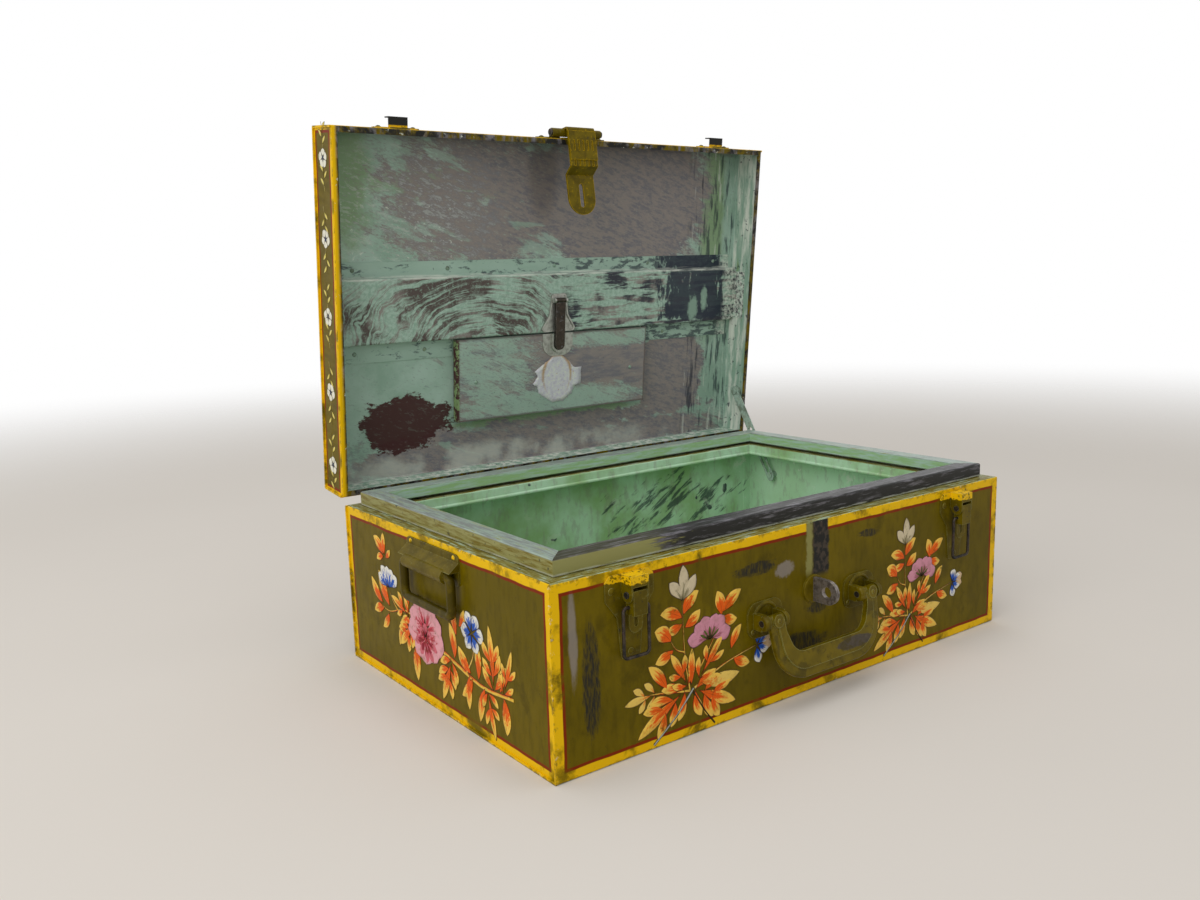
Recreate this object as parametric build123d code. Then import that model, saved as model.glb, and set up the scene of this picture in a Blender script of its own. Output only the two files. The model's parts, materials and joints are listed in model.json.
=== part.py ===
from build123d import *
from math import atan2, cos, degrees, hypot, radians, sin
import os

# A small tin trunk: a folded sheet box with a stepped mouth, a hinged lid with a pocket, and its
# fittings. Millimetres, +Z up. The origin is the centre of the underside, -Y is the front and +X the
# right end. The lid and all that it carries are drawn shut, in the place they have on the closed
# trunk, and are then swung about the hinge axis to the angle at which the trunk stands open.

# ---------------------------------------------------------------- the box
TRUNK_WIDTH = 460.0
TRUNK_DEPTH = 294.0
LEDGE_HEIGHT = 128.0
SHEET = 0.8
EDGE_HEM = 1.2
HEM_THICKNESS = 1.8
SEAM_FLANGE = 10.0
BEND_RADIUS = 1.1
LEDGE_WIDTH = 28.0
LEDGE_LIP_DROP = 9.0
LIP_ROLL_RADIUS = 1.5

# ---------------------------------------------------------------- the collar that the lid shuts over
COLLAR_INSET = 10.0
COLLAR_HEIGHT = 11.5
COLLAR_TOP_WIDTH = 16.0
COLLAR_FOOT_WIDTH = 6.0
COLLAR_LIP_GAP = 3.0

# ---------------------------------------------------------------- the lid
LID_MARGIN = 0.8
LID_GAP = 0.3
LID_DEPTH = 34.0
LID_RIM_FLANGE = 5.0
LID_SEAM_FLANGE = 6.0
OPEN_ANGLE = 84.5

# ---------------------------------------------------------------- the two back hinges
HINGE_BEHIND_BACK = 5.6
HINGE_BELOW_LEDGE = 2.35
HINGE_SPACING = 280.0
HINGE_WIDTH = 32.0
HINGE_LEAF = 1.2
HINGE_BARREL_RADIUS = 4.0
HINGE_PIN_RADIUS = 2.0
HINGE_HEAD_RADIUS = 3.0
HINGE_HEAD_HEIGHT = 1.0
HINGE_BASE_DROP = 30.0
HINGE_LID_REACH = 22.0
HINGE_WEB_LIFT = 0.45
HINGE_CENTRE_KNUCKLE = 12.0
HINGE_END_GAP = 0.3

# ---------------------------------------------------------------- running clearances
PIVOT_CLEARANCE = 0.05
SIDE_CLEARANCE = 0.3

# ---------------------------------------------------------------- the lid stay at the right rear corner
STAY_THICKNESS = 1.2
STAY_STANDOFF = 1.4
STAY_BELOW_RIM = 0.4
STAY_PIVOT_FORWARD = 51.6
STAY_PIVOT_RISE = 13.05
STAY_KEEPER_ANGLE = 36.1
STAY_EYE_RADIUS = 5.5
STAY_ARM_WIDTH = 9.0
STAY_STUD_RADIUS = 2.4
STAY_HEAD_RADIUS = 3.4
STAY_HEAD_HEIGHT = 0.7
STAY_KEEPER_RADIUS = 1.8
STAY_SLOT_PLAY = 0.25
STAY_SHOULDER_RADIUS = 3.6
STAY_LEDGE_SLOT = (93.0, 141.0)

# ---------------------------------------------------------------- the hasp and its staple
HASP_PIN_OFF_LID = 5.0
HASP_PIN_ABOVE_RIM = 3.2
HASP_PIN_RADIUS = 2.0
HASP_KNUCKLE_RADIUS = 3.6
HASP_WIDTH = 29.0
HASP_PIN_LENGTH = 52.0
HASP_HEAD_RADIUS = 2.9
HASP_HEAD_HEIGHT = 1.2
HASP_THICKNESS = 1.5
HASP_UPPER_STANDOFF = 6.8
HASP_UPPER_LENGTH = 30.0
HASP_JOGGLE_LENGTH = 6.0
HASP_TONGUE_OFF_FRONT = 2.4
HASP_TIP_MARGIN = 6.5
HASP_COVER_LENGTH = 25.0
HASP_COVER_THICKNESS = 1.1
HASP_GROOVES = 5
HASP_GROOVE_DEPTH = 0.5
HASP_GROOVE_WIDTH = 1.6
HASP_GROOVE_LENGTH = 9.0
HASP_SLOT_WIDTH = 4.6
HASP_SLOT_PLAY = 0.7
HASP_REST_LEAN = 7.65
HASP_BRACKET_WIDTH = 72.0
HASP_BRACKET_HEIGHT = 20.0
HASP_BRACKET_SHEET = 1.0
LOBE_HEIGHT_SHARE = 0.6
LOBE_MIDDLE_SHARE = 0.4
STAPLE_BELOW_LEDGE = 50.0
STAPLE_DISC_RADIUS = 10.5
STAPLE_DISC_THICKNESS = 2.0
STAPLE_DISC_ROUNDING = 0.65
STAPLE_REACH = 24.0
STAPLE_HEIGHT = 18.0
STAPLE_THICKNESS = 3.0
STAPLE_EYE_RADIUS = 4.25
STAPLE_EYE_OFF_FRONT = 14.5

# ---------------------------------------------------------------- the two toggle latches
LATCH_SPACING = 340.0
LATCH_SHEET = 1.0
LATCH_PLATE_WIDTH = 39.0
LATCH_PLATE_FOOT_WIDTH = 15.0
LATCH_TOP_BELOW_LEDGE = 3.5
LATCH_PLATE_HEIGHT = 56.0
LATCH_LOBE_HEIGHT = 20.0
LATCH_PLATE_ROUNDING = 2.5
LATCH_HOUSING_WIDTH = 13.6
LATCH_HOUSING_DEPTH = 12.0
LATCH_HOOD_HEIGHT = 7.2
LATCH_PIVOT_BELOW_TOP = 12.5
LATCH_PIVOT_OFF_FRONT = 7.0
LATCH_PIN_RADIUS = 1.3
LATCH_PIN_HEAD_RADIUS = 2.2
LATCH_PIN_HEAD_HEIGHT = 1.0
LATCH_CHEEK_RADIUS = 6.0
LEVER_ABOVE_PIVOT = 3.0
LEVER_BELOW_PIVOT = 13.0
LEVER_FLANGE_DEPTH = 8.0
LEVER_TAB_LENGTH = 12.5
LEVER_TAB_SETBACK = 5.2
LEVER_TAB_SLOT_WIDTH = 3.0
LEVER_TAB_SLOT_LENGTH = 7.0
BAIL_BELOW_PIVOT = 8.0
BAIL_LENGTH = 33.0
BAIL_WIRE_RADIUS = 1.1
BAIL_HALF_WIDTH = 10.2
BAIL_CORNER_RADIUS = 3.0
CATCH_PLATE_WIDTH = 40.0
CATCH_PLATE_HEIGHT = 18.0
CATCH_HOOK_WIDTH = 16.5
CATCH_HOOK_REACH = 9.2
CATCH_FLOOR_ABOVE_RIM = 5.1
CATCH_SHEET = 1.0
CATCH_LIP_HEIGHT = 7.0

# ---------------------------------------------------------------- the front handle
HANDLE_EAR_SPACING = 100.0
HANDLE_PIVOT_HEIGHT = 67.0
HANDLE_PIVOT_OFF_FRONT = 9.0
HANDLE_EAR_SHEET = 1.2
HANDLE_EAR_WIDTH = 34.0
HANDLE_EAR_HEIGHT = 26.0
HANDLE_EAR_CORNER = 9.0
HANDLE_ARCH_RADIUS = 11.0
HANDLE_ARCH_RISE = 1.4
HANDLE_LUG_THICKNESS = 4.4
HANDLE_LUG_RADIUS = 5.8
HANDLE_LUG_ROUNDING = 2.0
HANDLE_EYE_LENGTH = 14.0
HANDLE_EYE_RADIUS = 4.4
HANDLE_PIN_RADIUS = 2.4
HANDLE_DROP = 45.0
HANDLE_GRIP_WIDTH = 19.5
HANDLE_ARM_WIDTH = 13.5
HANDLE_FOOT_HALF_WIDTH = 52.5
HANDLE_THICKNESS = 3.6
HANDLE_EDGE_ROUNDING_SHARE = 0.4
HANDLE_FORWARD = 2.2
HANDLE_CORNER_RADIUS = 29.0
HANDLE_NECK = 8.0
HANDLE_INNER_CORNER = 13.0
HANDLE_INNER_SETBACK = 16.0
HANDLE_FLANGE_WIDTH = 6.5
HANDLE_BAND_RISE = 1.0
HANDLE_LEAN = 11.0
HANDLE_BOSS_RADIUS = 4.6
HANDLE_BOSS_REACH = 6.0
HANDLE_RIVET_RADIUS = 1.7
HANDLE_RIVET_RISE = 0.9
HANDLE_EAR_RIVET_FROM_EDGE = 5.0

# ---------------------------------------------------------------- the end handles
END_HANDLE_BELOW_LEDGE = 20.0
END_PLATE_WIDTH = 76.0
END_PLATE_SHEET = 1.2
END_PLATE_BELOW_AXIS = 7.0
END_PLATE_ABOVE_AXIS = 15.5
END_PLATE_CORNER = 4.2
END_FLANGE_HEIGHT = 5.4
END_HOOD_ANGLE = 25.0
END_HOOD_ABOVE_ROD = 0.6
END_RIVET_FROM_EDGE = 6.5
END_SLEEVE_LENGTH = 58.0
END_SLEEVE_RADIUS = 5.2
END_ROD_RADIUS = 3.3
END_ROD_HALF_SPAN = 34.8
END_ROD_DROP = 27.6
END_ROD_STUB = 16.0
END_ROD_BEND = 5.5
END_AXIS_OFF_PANEL = 6.2

# ---------------------------------------------------------------- the pocket in the lid
BAND_TOP_EDGE = -41.0
BAND_FACE_TOP = -28.0
BAND_FACE_BOTTOM = 26.5
BAND_BOTTOM_EDGE = 42.5
BAND_STANDOFF = 8.3
BAND_TAB_WIDTH = 48.0
BAND_TAB_DROP = 13.0
DOOR_WIDTH = 214.0
DOOR_HEIGHT = 74.0
DOOR_TOP_GAP = 1.0
DOOR_STANDOFF = 8.5
DOOR_FLANGE_DEPTH = 6.0
DOOR_KNUCKLE_RADIUS = 2.0
DOOR_PIN_RADIUS = 1.0
DOOR_KNUCKLE_LENGTH = 12.0
DOOR_PANEL_KNUCKLE = 6.0
DOOR_HINGE_SPACING = 140.0
DOOR_LEAF_REACH = 12.0
DOOR_KNUCKLE_OFF_PANEL = 0.1
CLASP_PIVOT_FROM_MIDDLE = -3.4
CLASP_PLATE_WIDTH = 42.0
CLASP_PLATE_TOP_WIDTH = 16.0
CLASP_PLATE_ABOVE = 6.0
CLASP_RIM_WIDTH = 1.5
CLASP_RIM_RISE = 0.8
CLASP_CORNER = 3.0
CLASP_WAIST_SHARE = 0.55
CLASP_SHEET = 1.0
CLASP_PIVOT_OFF_PLATE = 2.8
CLASP_LUG_THICKNESS = 1.8
CLASP_BARREL_RADIUS = 2.3
CLASP_PIN_RADIUS = 1.1
TONGUE_WIDTH = 10.4
TONGUE_THICKNESS = 2.2
TONGUE_LENGTH = 46.0
DOOR_CATCH_WIDTH = 34.0
DOOR_CATCH_HEIGHT = 21.0
DOOR_CATCH_CORNER = 12.0
DOOR_CATCH_RIDGE = 2.0

# ---------------------------------------------------------------- rivets
RIVET_RADIUS = 2.4
RIVET_RISE = 1.3
SMALL_RIVET_RADIUS = 1.9
SMALL_RIVET_RISE = 1.0
BAND_RIVETS_ABOVE = (0.0, 112.0, 200.0)
BAND_RIVETS_BELOW = (135.0, 200.0)
LATCH_RIVET_FROM_EDGE = 5.0
LATCH_FOOT_RIVET = 4.0
CATCH_RIVET_FROM_EDGE = 5.0
LATCH_LOBE_CHAMFER = 4.0
LATCH_NECK_BELOW_LOBE = 8.0
LATCH_NECK_FLARE = 3.0
HINGE_RIVETS_FROM_FOOT = (8.0, 20.0)
HINGE_RIVET_FROM_TOP = 5.0
DOOR_RIVET_SPACING = 176.0
DOOR_RIVET_DROP = 39.0
CLASP_WAIST_FLARE = 2.5

# ---------------------------------------------------------------- sizes that follow
HALF_WIDTH = TRUNK_WIDTH / 2
HALF_DEPTH = TRUNK_DEPTH / 2
END_FACE = HALF_WIDTH - EDGE_HEM
END_HANDLE_HEIGHT = LEDGE_HEIGHT - END_HANDLE_BELOW_LEDGE
COLLAR_TOP = LEDGE_HEIGHT + COLLAR_HEIGHT
LID_HALF_WIDTH = HALF_WIDTH - LID_MARGIN
LID_HALF_DEPTH = HALF_DEPTH - LID_MARGIN
LID_END_FACE = LID_HALF_WIDTH - EDGE_HEM
LID_RIM = LEDGE_HEIGHT + LID_GAP
LID_TOP = LID_RIM + LID_DEPTH
LID_PANEL = LID_TOP - SHEET
HINGE_Y = HALF_DEPTH + HINGE_BEHIND_BACK
HINGE_Z = LEDGE_HEIGHT - HINGE_BELOW_LEDGE
LID_AXIS = Axis((0, HINGE_Y, HINGE_Z), (-1, 0, 0))


def opened(shape):
    """Swing a piece of the closed lid about the hinge axis to where the lid stands open."""
    return shape.rotate(LID_AXIS, OPEN_ANGLE)


def block(x, y, z):
    """A rectangular block between the two values given for each axis."""
    size = (x[1] - x[0], y[1] - y[0], z[1] - z[0])
    middle = ((x[0] + x[1]) / 2, (y[0] + y[1]) / 2, (z[0] + z[1]) / 2)
    return Pos(*middle) * Box(*size)


def rod_x(x, y, z, radius):
    """A round bar along X between the two values of x."""
    return Pos((x[0] + x[1]) / 2, y, z) * Rot(0, 90, 0) * Cylinder(radius, x[1] - x[0])


def rod_y(x, y, z, radius):
    """A round bar along Y between the two values of y."""
    return Pos(x, (y[0] + y[1]) / 2, z) * Rot(90, 0, 0) * Cylinder(radius, y[1] - y[0])


def folded(path, thickness=SHEET):
    """The cross-section of a sheet folded along a centre line, with rounded bends."""
    return trace(FilletPolyline(*path, radius=BEND_RADIUS), line_width=thickness)


def along_x(section, half_length):
    """Push a section drawn in (y, z) both ways along X."""
    return extrude(Plane.YZ * section, amount=half_length, both=True)


def along_y(section, half_length):
    """Push a section drawn in (x, z) both ways along Y."""
    return extrude(Plane.XZ * section, amount=half_length, both=True)


def prism(points, z):
    """An upright prism over a polygon drawn in (x, y)."""
    outline = make_face(Polyline(*points, close=True))
    return extrude(Pos(0, 0, z[0]) * outline, amount=z[1] - z[0])


def front_prism(points, y):
    """A prism over a polygon drawn in (x, z), from the first y to the second."""
    outline = make_face(Polyline(*points, close=True))
    return extrude(Pos(0, y[1], 0) * (Plane.XZ * outline), amount=y[1] - y[0])


def dome(radius, rise):
    """A rivet head that stands on the XY plane: a cap cut from a sphere."""
    sphere_radius = (radius * radius + rise * rise) / (2 * rise)
    ball = Pos(0, 0, rise - sphere_radius) * Sphere(sphere_radius)
    return ball & (Pos(0, 0, rise / 2) * Box(4 * radius, 4 * radius, rise))


def heads_front(places, y, radius=RIVET_RADIUS, rise=RIVET_RISE):
    """Rivet heads on a face that looks to -Y, at the (x, z) places given."""
    return [Pos(x, y, z) * Rot(90, 0, 0) * dome(radius, rise) for x, z in places]


def both_ends(shape):
    """A piece of the right end and its mirror image at the left end."""
    return {"right": shape, "left": mirror(shape, about=Plane.YZ)}


def end_wedge(half_width, half_depth, reach, z):
    """The region nearer to the right end than to the front and back, for mitred corners."""
    inner_x = half_width - reach
    inner_y = half_depth - reach
    start_x = half_width - SHEET
    start_y = half_depth - SHEET
    points = [
        (half_width + 1, -start_y),
        (start_x, -start_y),
        (inner_x, -inner_y),
        (inner_x, inner_y),
        (start_x, start_y),
        (half_width + 1, start_y),
    ]
    return prism(points, z)


# ---------------------------------------------------------------- box and collar
MITRE_REACH = LEDGE_WIDTH + 2 * LIP_ROLL_RADIUS
MITRE_HEIGHTS = (LEDGE_HEIGHT - LEDGE_LIP_DROP - 2 * LIP_ROLL_RADIUS, LEDGE_HEIGHT + 1)


def body_wrap():
    """Front, bottom and back in one sheet, folded in at the top as the ledge and its rolled lip."""
    out = HALF_DEPTH - SHEET / 2
    lip = HALF_DEPTH - LEDGE_WIDTH + SHEET / 2
    top = LEDGE_HEIGHT - SHEET / 2
    lip_foot = LEDGE_HEIGHT - LEDGE_LIP_DROP
    half = [(0, SHEET / 2), (out, SHEET / 2), (out, top), (lip, top), (lip, lip_foot)]
    path = [(-y, z) for y, z in reversed(half[1:])] + half[1:]
    sheet = along_x(folded(path), HALF_WIDTH)
    for side in (-1, 1):
        sheet += rod_x((-HALF_WIDTH, HALF_WIDTH), side * lip, lip_foot, LIP_ROLL_RADIUS)
    wedge = end_wedge(HALF_WIDTH, HALF_DEPTH, MITRE_REACH, MITRE_HEIGHTS)
    for cut in both_ends(wedge).values():
        sheet -= cut
    hem_x = (END_FACE, HALF_WIDTH)
    hem_top = LEDGE_HEIGHT - SHEET
    hem = block(hem_x, (-out, out), (SHEET / 2, HEM_THICKNESS))
    for side in (-1, 1):
        edge = sorted((side * out, side * (HALF_DEPTH - HEM_THICKNESS)))
        hem += block(hem_x, edge, (SHEET / 2, hem_top))
    for piece in both_ends(hem).values():
        sheet += piece
    return sheet


def rounded_pan(x, half_y, z):
    """A block with its long corners and its outer face rounded like bent sheet."""
    pan = block(x, (-half_y, half_y), z)
    pan = fillet(pan.edges().filter_by(Axis.X), BEND_RADIUS)
    return fillet(pan.faces().sort_by(Axis.X)[-1].edges(), BEND_RADIUS)


def body_end():
    """The right end panel: a pan with its flanges inside the wrap, and its own stretch of ledge."""
    inner_y = HALF_DEPTH - SHEET
    flange_x = (END_FACE - SEAM_FLANGE, END_FACE)
    pan = rounded_pan(flange_x, inner_y, (SHEET, LEDGE_HEIGHT))
    hollow_y = (-inner_y + SHEET, inner_y - SHEET)
    hollow_x = (flange_x[0] - 1, END_FACE - SHEET)
    pan -= block(hollow_x, hollow_y, (2 * SHEET, LEDGE_HEIGHT - SHEET))
    full_y = (-HALF_DEPTH, HALF_DEPTH)
    pan -= block(hollow_x, full_y, (LEDGE_HEIGHT - SHEET, LEDGE_HEIGHT + 1))
    wedge = end_wedge(HALF_WIDTH, HALF_DEPTH, MITRE_REACH, MITRE_HEIGHTS)
    corner_z = (LEDGE_HEIGHT - SHEET - BEND_RADIUS, LEDGE_HEIGHT + 1)
    pan -= block((flange_x[0] - 1, HALF_WIDTH), full_y, corner_z) - wedge
    lip_x = HALF_WIDTH - LEDGE_WIDTH
    lip_foot = LEDGE_HEIGHT - LEDGE_LIP_DROP
    ledge = block((lip_x, END_FACE - SHEET), (-inner_y, inner_y), (LEDGE_HEIGHT - SHEET, LEDGE_HEIGHT))
    ledge += block((lip_x, lip_x + SHEET), (-inner_y, inner_y), (lip_foot, LEDGE_HEIGHT))
    ledge += rod_y(lip_x + SHEET / 2, (-inner_y, inner_y), lip_foot, LIP_ROLL_RADIUS)
    return pan + (ledge & wedge)


def collar_section(inset_from):
    """Foot, outer wall, top and inner lip of the collar, drawn for the side at minus inset_from."""
    outer = -(inset_from - COLLAR_INSET) + SHEET / 2
    inner = -(inset_from - COLLAR_INSET) + COLLAR_TOP_WIDTH - SHEET / 2
    low = LEDGE_HEIGHT + SHEET / 2
    high = COLLAR_TOP - SHEET / 2
    foot = outer + COLLAR_FOOT_WIDTH - SHEET / 2
    lip_foot = LEDGE_HEIGHT + COLLAR_LIP_GAP
    return folded([(foot, low), (outer, low), (outer, high), (inner, high), (inner, lip_foot)])


def collars():
    """The four collar strips, mitred where they meet."""
    half_x = HALF_WIDTH - COLLAR_INSET
    half_y = HALF_DEPTH - COLLAR_INSET
    heights = (LEDGE_HEIGHT - 1, COLLAR_TOP + 1)
    reach = COLLAR_TOP_WIDTH + 1
    inner_x = half_x - reach
    inner_y = half_y - reach
    mitre = [(half_x, -half_y), (inner_x, -inner_y), (inner_x, inner_y), (half_x, half_y)]
    end_region = prism(mitre, heights)
    front = along_x(collar_section(HALF_DEPTH), half_x)
    for cut in both_ends(end_region).values():
        front -= cut
    left = along_y(collar_section(HALF_WIDTH), half_y) & mirror(end_region, about=Plane.YZ)
    return {
        "collar_front": front,
        "collar_back": mirror(front, about=Plane.XZ),
        "collar_left": left,
        "collar_right": mirror(left, about=Plane.YZ),
    }


# ---------------------------------------------------------------- lid shell
def lid_wrap():
    """Front, top and back of the lid in one sheet, with its rim turned in."""
    out = LID_HALF_DEPTH - SHEET / 2
    rim = LID_RIM + SHEET / 2
    top = LID_TOP - SHEET / 2
    rim_inner = LID_HALF_DEPTH - LID_RIM_FLANGE
    half = [(out, top), (out, rim), (rim_inner, rim)]
    path = [(-y, z) for y, z in reversed(half)] + half
    sheet = along_x(folded(path), LID_HALF_WIDTH)
    heights = (LID_RIM - 1, LID_RIM + SHEET + BEND_RADIUS)
    wedge = end_wedge(LID_HALF_WIDTH, LID_HALF_DEPTH, LID_RIM_FLANGE + 1, heights)
    for cut in both_ends(wedge).values():
        sheet -= cut
    hem_x = (LID_END_FACE, LID_HALF_WIDTH)
    hem = block(hem_x, (-out, out), (LID_TOP - HEM_THICKNESS, top))
    for side in (-1, 1):
        edge = sorted((side * out, side * (LID_HALF_DEPTH - HEM_THICKNESS)))
        hem += block(hem_x, edge, (LID_RIM + SHEET, top))
    for piece in both_ends(hem).values():
        sheet += piece
    return sheet


def lid_end():
    """The right end panel of the lid: a pan inside the wrap, with its rim turned in."""
    inner_y = LID_HALF_DEPTH - SHEET
    flange_x = (LID_END_FACE - LID_SEAM_FLANGE, LID_END_FACE)
    pan = rounded_pan(flange_x, inner_y, (LID_RIM, LID_PANEL))
    hollow_y = (-inner_y + SHEET, inner_y - SHEET)
    pan -= block((flange_x[0] - 1, LID_END_FACE - SHEET), hollow_y, (LID_RIM + SHEET, LID_PANEL - SHEET))
    rim_y = (-HALF_DEPTH, HALF_DEPTH)
    pan -= block((flange_x[0] - 1, LID_END_FACE - SHEET), rim_y, (LID_RIM - 1, LID_RIM + SHEET))
    wedge = end_wedge(LID_HALF_WIDTH, LID_HALF_DEPTH, LID_RIM_FLANGE + 1 + EDGE_HEM, (LID_RIM - 1, LID_TOP))
    corner_z = (LID_RIM - 1, LID_RIM + SHEET + BEND_RADIUS)
    pan -= block((flange_x[0] - 1, HALF_WIDTH), rim_y, corner_z) - wedge
    rim_x = (LID_END_FACE - LID_RIM_FLANGE, LID_END_FACE - SHEET)
    rim = block(rim_x, (-inner_y, inner_y), (LID_RIM, LID_RIM + SHEET))
    return pan + (rim & wedge)


# ---------------------------------------------------------------- back hinges
HINGE_KNUCKLES = {
    "base": [
        (-HINGE_WIDTH / 2, -HINGE_CENTRE_KNUCKLE / 2 - HINGE_END_GAP),
        (HINGE_CENTRE_KNUCKLE / 2 + HINGE_END_GAP, HINGE_WIDTH / 2),
    ],
    "lid": [(-HINGE_CENTRE_KNUCKLE / 2, HINGE_CENTRE_KNUCKLE / 2)],
}


def hinge_barrels(x, spans, web_z):
    """The knuckles of one leaf, each with the web that joins it to the leaf."""
    shape = None
    bore = rod_x((x - HINGE_WIDTH, x + HINGE_WIDTH), HINGE_Y, HINGE_Z, HINGE_PIN_RADIUS + PIVOT_CLEARANCE)
    for low, high in spans:
        span = (x + low, x + high)
        knuckle = rod_x(span, HINGE_Y, HINGE_Z, HINGE_BARREL_RADIUS)
        knuckle += block(span, (HALF_DEPTH, HINGE_Y), web_z)
        shape = knuckle if shape is None else shape + knuckle
    return shape - bore


def hinge_base_leaf(x):
    """The leaf on the back of the box, closed on the barrel from below."""
    web_z = (HINGE_Z - HINGE_BARREL_RADIUS, HINGE_Z - HINGE_BARREL_RADIUS + HINGE_LEAF)
    leaf_z = (web_z[1] - HINGE_BASE_DROP, web_z[1])
    leaf = block((x - HINGE_WIDTH / 2, x + HINGE_WIDTH / 2), (HALF_DEPTH, HALF_DEPTH + HINGE_LEAF), leaf_z)
    return leaf + hinge_barrels(x, HINGE_KNUCKLES["base"], web_z)


def hinge_lid_leaf(x):
    """The leaf on the back of the lid, closed on the barrel from above."""
    web_z = (LEDGE_HEIGHT + HINGE_WEB_LIFT, HINGE_Z + HINGE_BARREL_RADIUS)
    leaf_z = (web_z[0], web_z[0] + HINGE_LID_REACH)
    leaf = block(
        (x - HINGE_WIDTH / 2, x + HINGE_WIDTH / 2), (LID_HALF_DEPTH, LID_HALF_DEPTH + HINGE_LEAF), leaf_z
    )
    return leaf + hinge_barrels(x, HINGE_KNUCKLES["lid"], web_z)


def hinge_pin(x):
    """A pin with a head at both ends."""
    half = HINGE_WIDTH / 2
    pin = rod_x((x - half, x + half), HINGE_Y, HINGE_Z, HINGE_PIN_RADIUS)
    for side in (-1, 1):
        head = sorted((x + side * half, x + side * (half + HINGE_HEAD_HEIGHT)))
        pin += rod_x(head, HINGE_Y, HINGE_Z, HINGE_HEAD_RADIUS)
    return pin


# ---------------------------------------------------------------- lid stay
STAY_OUTER = LID_END_FACE - LID_RIM_FLANGE - STAY_BELOW_RIM
STAY_INNER = STAY_OUTER - STAY_THICKNESS
STAY_RADIUS = hypot(STAY_PIVOT_FORWARD, STAY_PIVOT_RISE)
STAY_PIVOT_Y = HINGE_Y - STAY_PIVOT_FORWARD
STAY_PIVOT_Z = HINGE_Z + STAY_PIVOT_RISE
KEEPER_Y = HINGE_Y - STAY_RADIUS * cos(radians(STAY_KEEPER_ANGLE))
KEEPER_Z = HINGE_Z - STAY_RADIUS * sin(radians(STAY_KEEPER_ANGLE))
STAY_SPAN_SHUT = hypot(KEEPER_Y - STAY_PIVOT_Y, KEEPER_Z - STAY_PIVOT_Z)
PIVOT_ANGLE_OPEN = radians(180 - OPEN_ANGLE) - atan2(STAY_PIVOT_RISE, STAY_PIVOT_FORWARD)
PIVOT_OPEN_Y = HINGE_Y + STAY_RADIUS * cos(PIVOT_ANGLE_OPEN)
PIVOT_OPEN_Z = HINGE_Z + STAY_RADIUS * sin(PIVOT_ANGLE_OPEN)
STAY_SPAN_OPEN = hypot(KEEPER_Y - PIVOT_OPEN_Y, KEEPER_Z - PIVOT_OPEN_Z)


def stay_arm():
    """The slotted strip, drawn where it lies with the lid open, from its pivot down to the keeper."""
    turn = degrees(atan2(KEEPER_Z - PIVOT_OPEN_Z, KEEPER_Y - PIVOT_OPEN_Y))
    slot_low = STAY_SPAN_SHUT
    slot_high = STAY_SPAN_OPEN
    tip = slot_high + STAY_KEEPER_RADIUS
    half = STAY_ARM_WIDTH / 2
    width = STAY_THICKNESS
    arm = Cylinder(STAY_EYE_RADIUS, width)
    arm += Pos(tip / 2, 0, 0) * Box(tip, STAY_ARM_WIDTH, width)
    arm += Pos(tip, 0, 0) * Cylinder(half, width)
    arm -= Cylinder(STAY_STUD_RADIUS + PIVOT_CLEARANCE, 2 * width)
    slot_radius = STAY_KEEPER_RADIUS + STAY_SLOT_PLAY
    for place in (slot_low, slot_high):
        arm -= Pos(place, 0, 0) * Cylinder(slot_radius, 2 * width)
    arm -= Pos((slot_low + slot_high) / 2, 0, 0) * Box(slot_high - slot_low, 2 * slot_radius, 2 * width)
    pivot = ((STAY_INNER + STAY_OUTER) / 2, PIVOT_OPEN_Y, PIVOT_OPEN_Z)
    plane = Plane(origin=pivot, x_dir=(0, 1, 0), z_dir=(1, 0, 0))
    return plane * Rot(0, 0, turn) * arm


def stay_stud():
    """The shouldered stud on the lid's right end that the stay turns on."""
    wall = LID_END_FACE - SHEET
    at = (STAY_PIVOT_Y, STAY_PIVOT_Z)
    stud = rod_x((STAY_OUTER + SIDE_CLEARANCE / 2, wall), *at, STAY_SHOULDER_RADIUS)
    head_face = STAY_INNER - SIDE_CLEARANCE / 2
    stud += rod_x((head_face - STAY_HEAD_HEIGHT, wall), *at, STAY_STUD_RADIUS)
    stud += rod_x((head_face - STAY_HEAD_HEIGHT, head_face), *at, STAY_HEAD_RADIUS)
    return stud


def stay_keeper():
    """The headed peg inside the right end of the box that the slot slides on."""
    wall = END_FACE - SHEET
    keeper = rod_x((STAY_OUTER + SIDE_CLEARANCE, wall), KEEPER_Y, KEEPER_Z, STAY_SHOULDER_RADIUS)
    head_face = STAY_INNER - SIDE_CLEARANCE
    keeper += rod_x((head_face - STAY_HEAD_HEIGHT, wall), KEEPER_Y, KEEPER_Z, STAY_KEEPER_RADIUS)
    keeper += rod_x((head_face - STAY_HEAD_HEIGHT, head_face), KEEPER_Y, KEEPER_Z, STAY_HEAD_RADIUS)
    return keeper


def ledge_slot():
    """The slot in the right-hand ledge that the stay passes down through."""
    slot_x = (STAY_INNER - SIDE_CLEARANCE, STAY_OUTER + SIDE_CLEARANCE)
    return block(slot_x, STAY_LEDGE_SLOT, (LEDGE_HEIGHT - 2 * SHEET, LEDGE_HEIGHT + SHEET))


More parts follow.
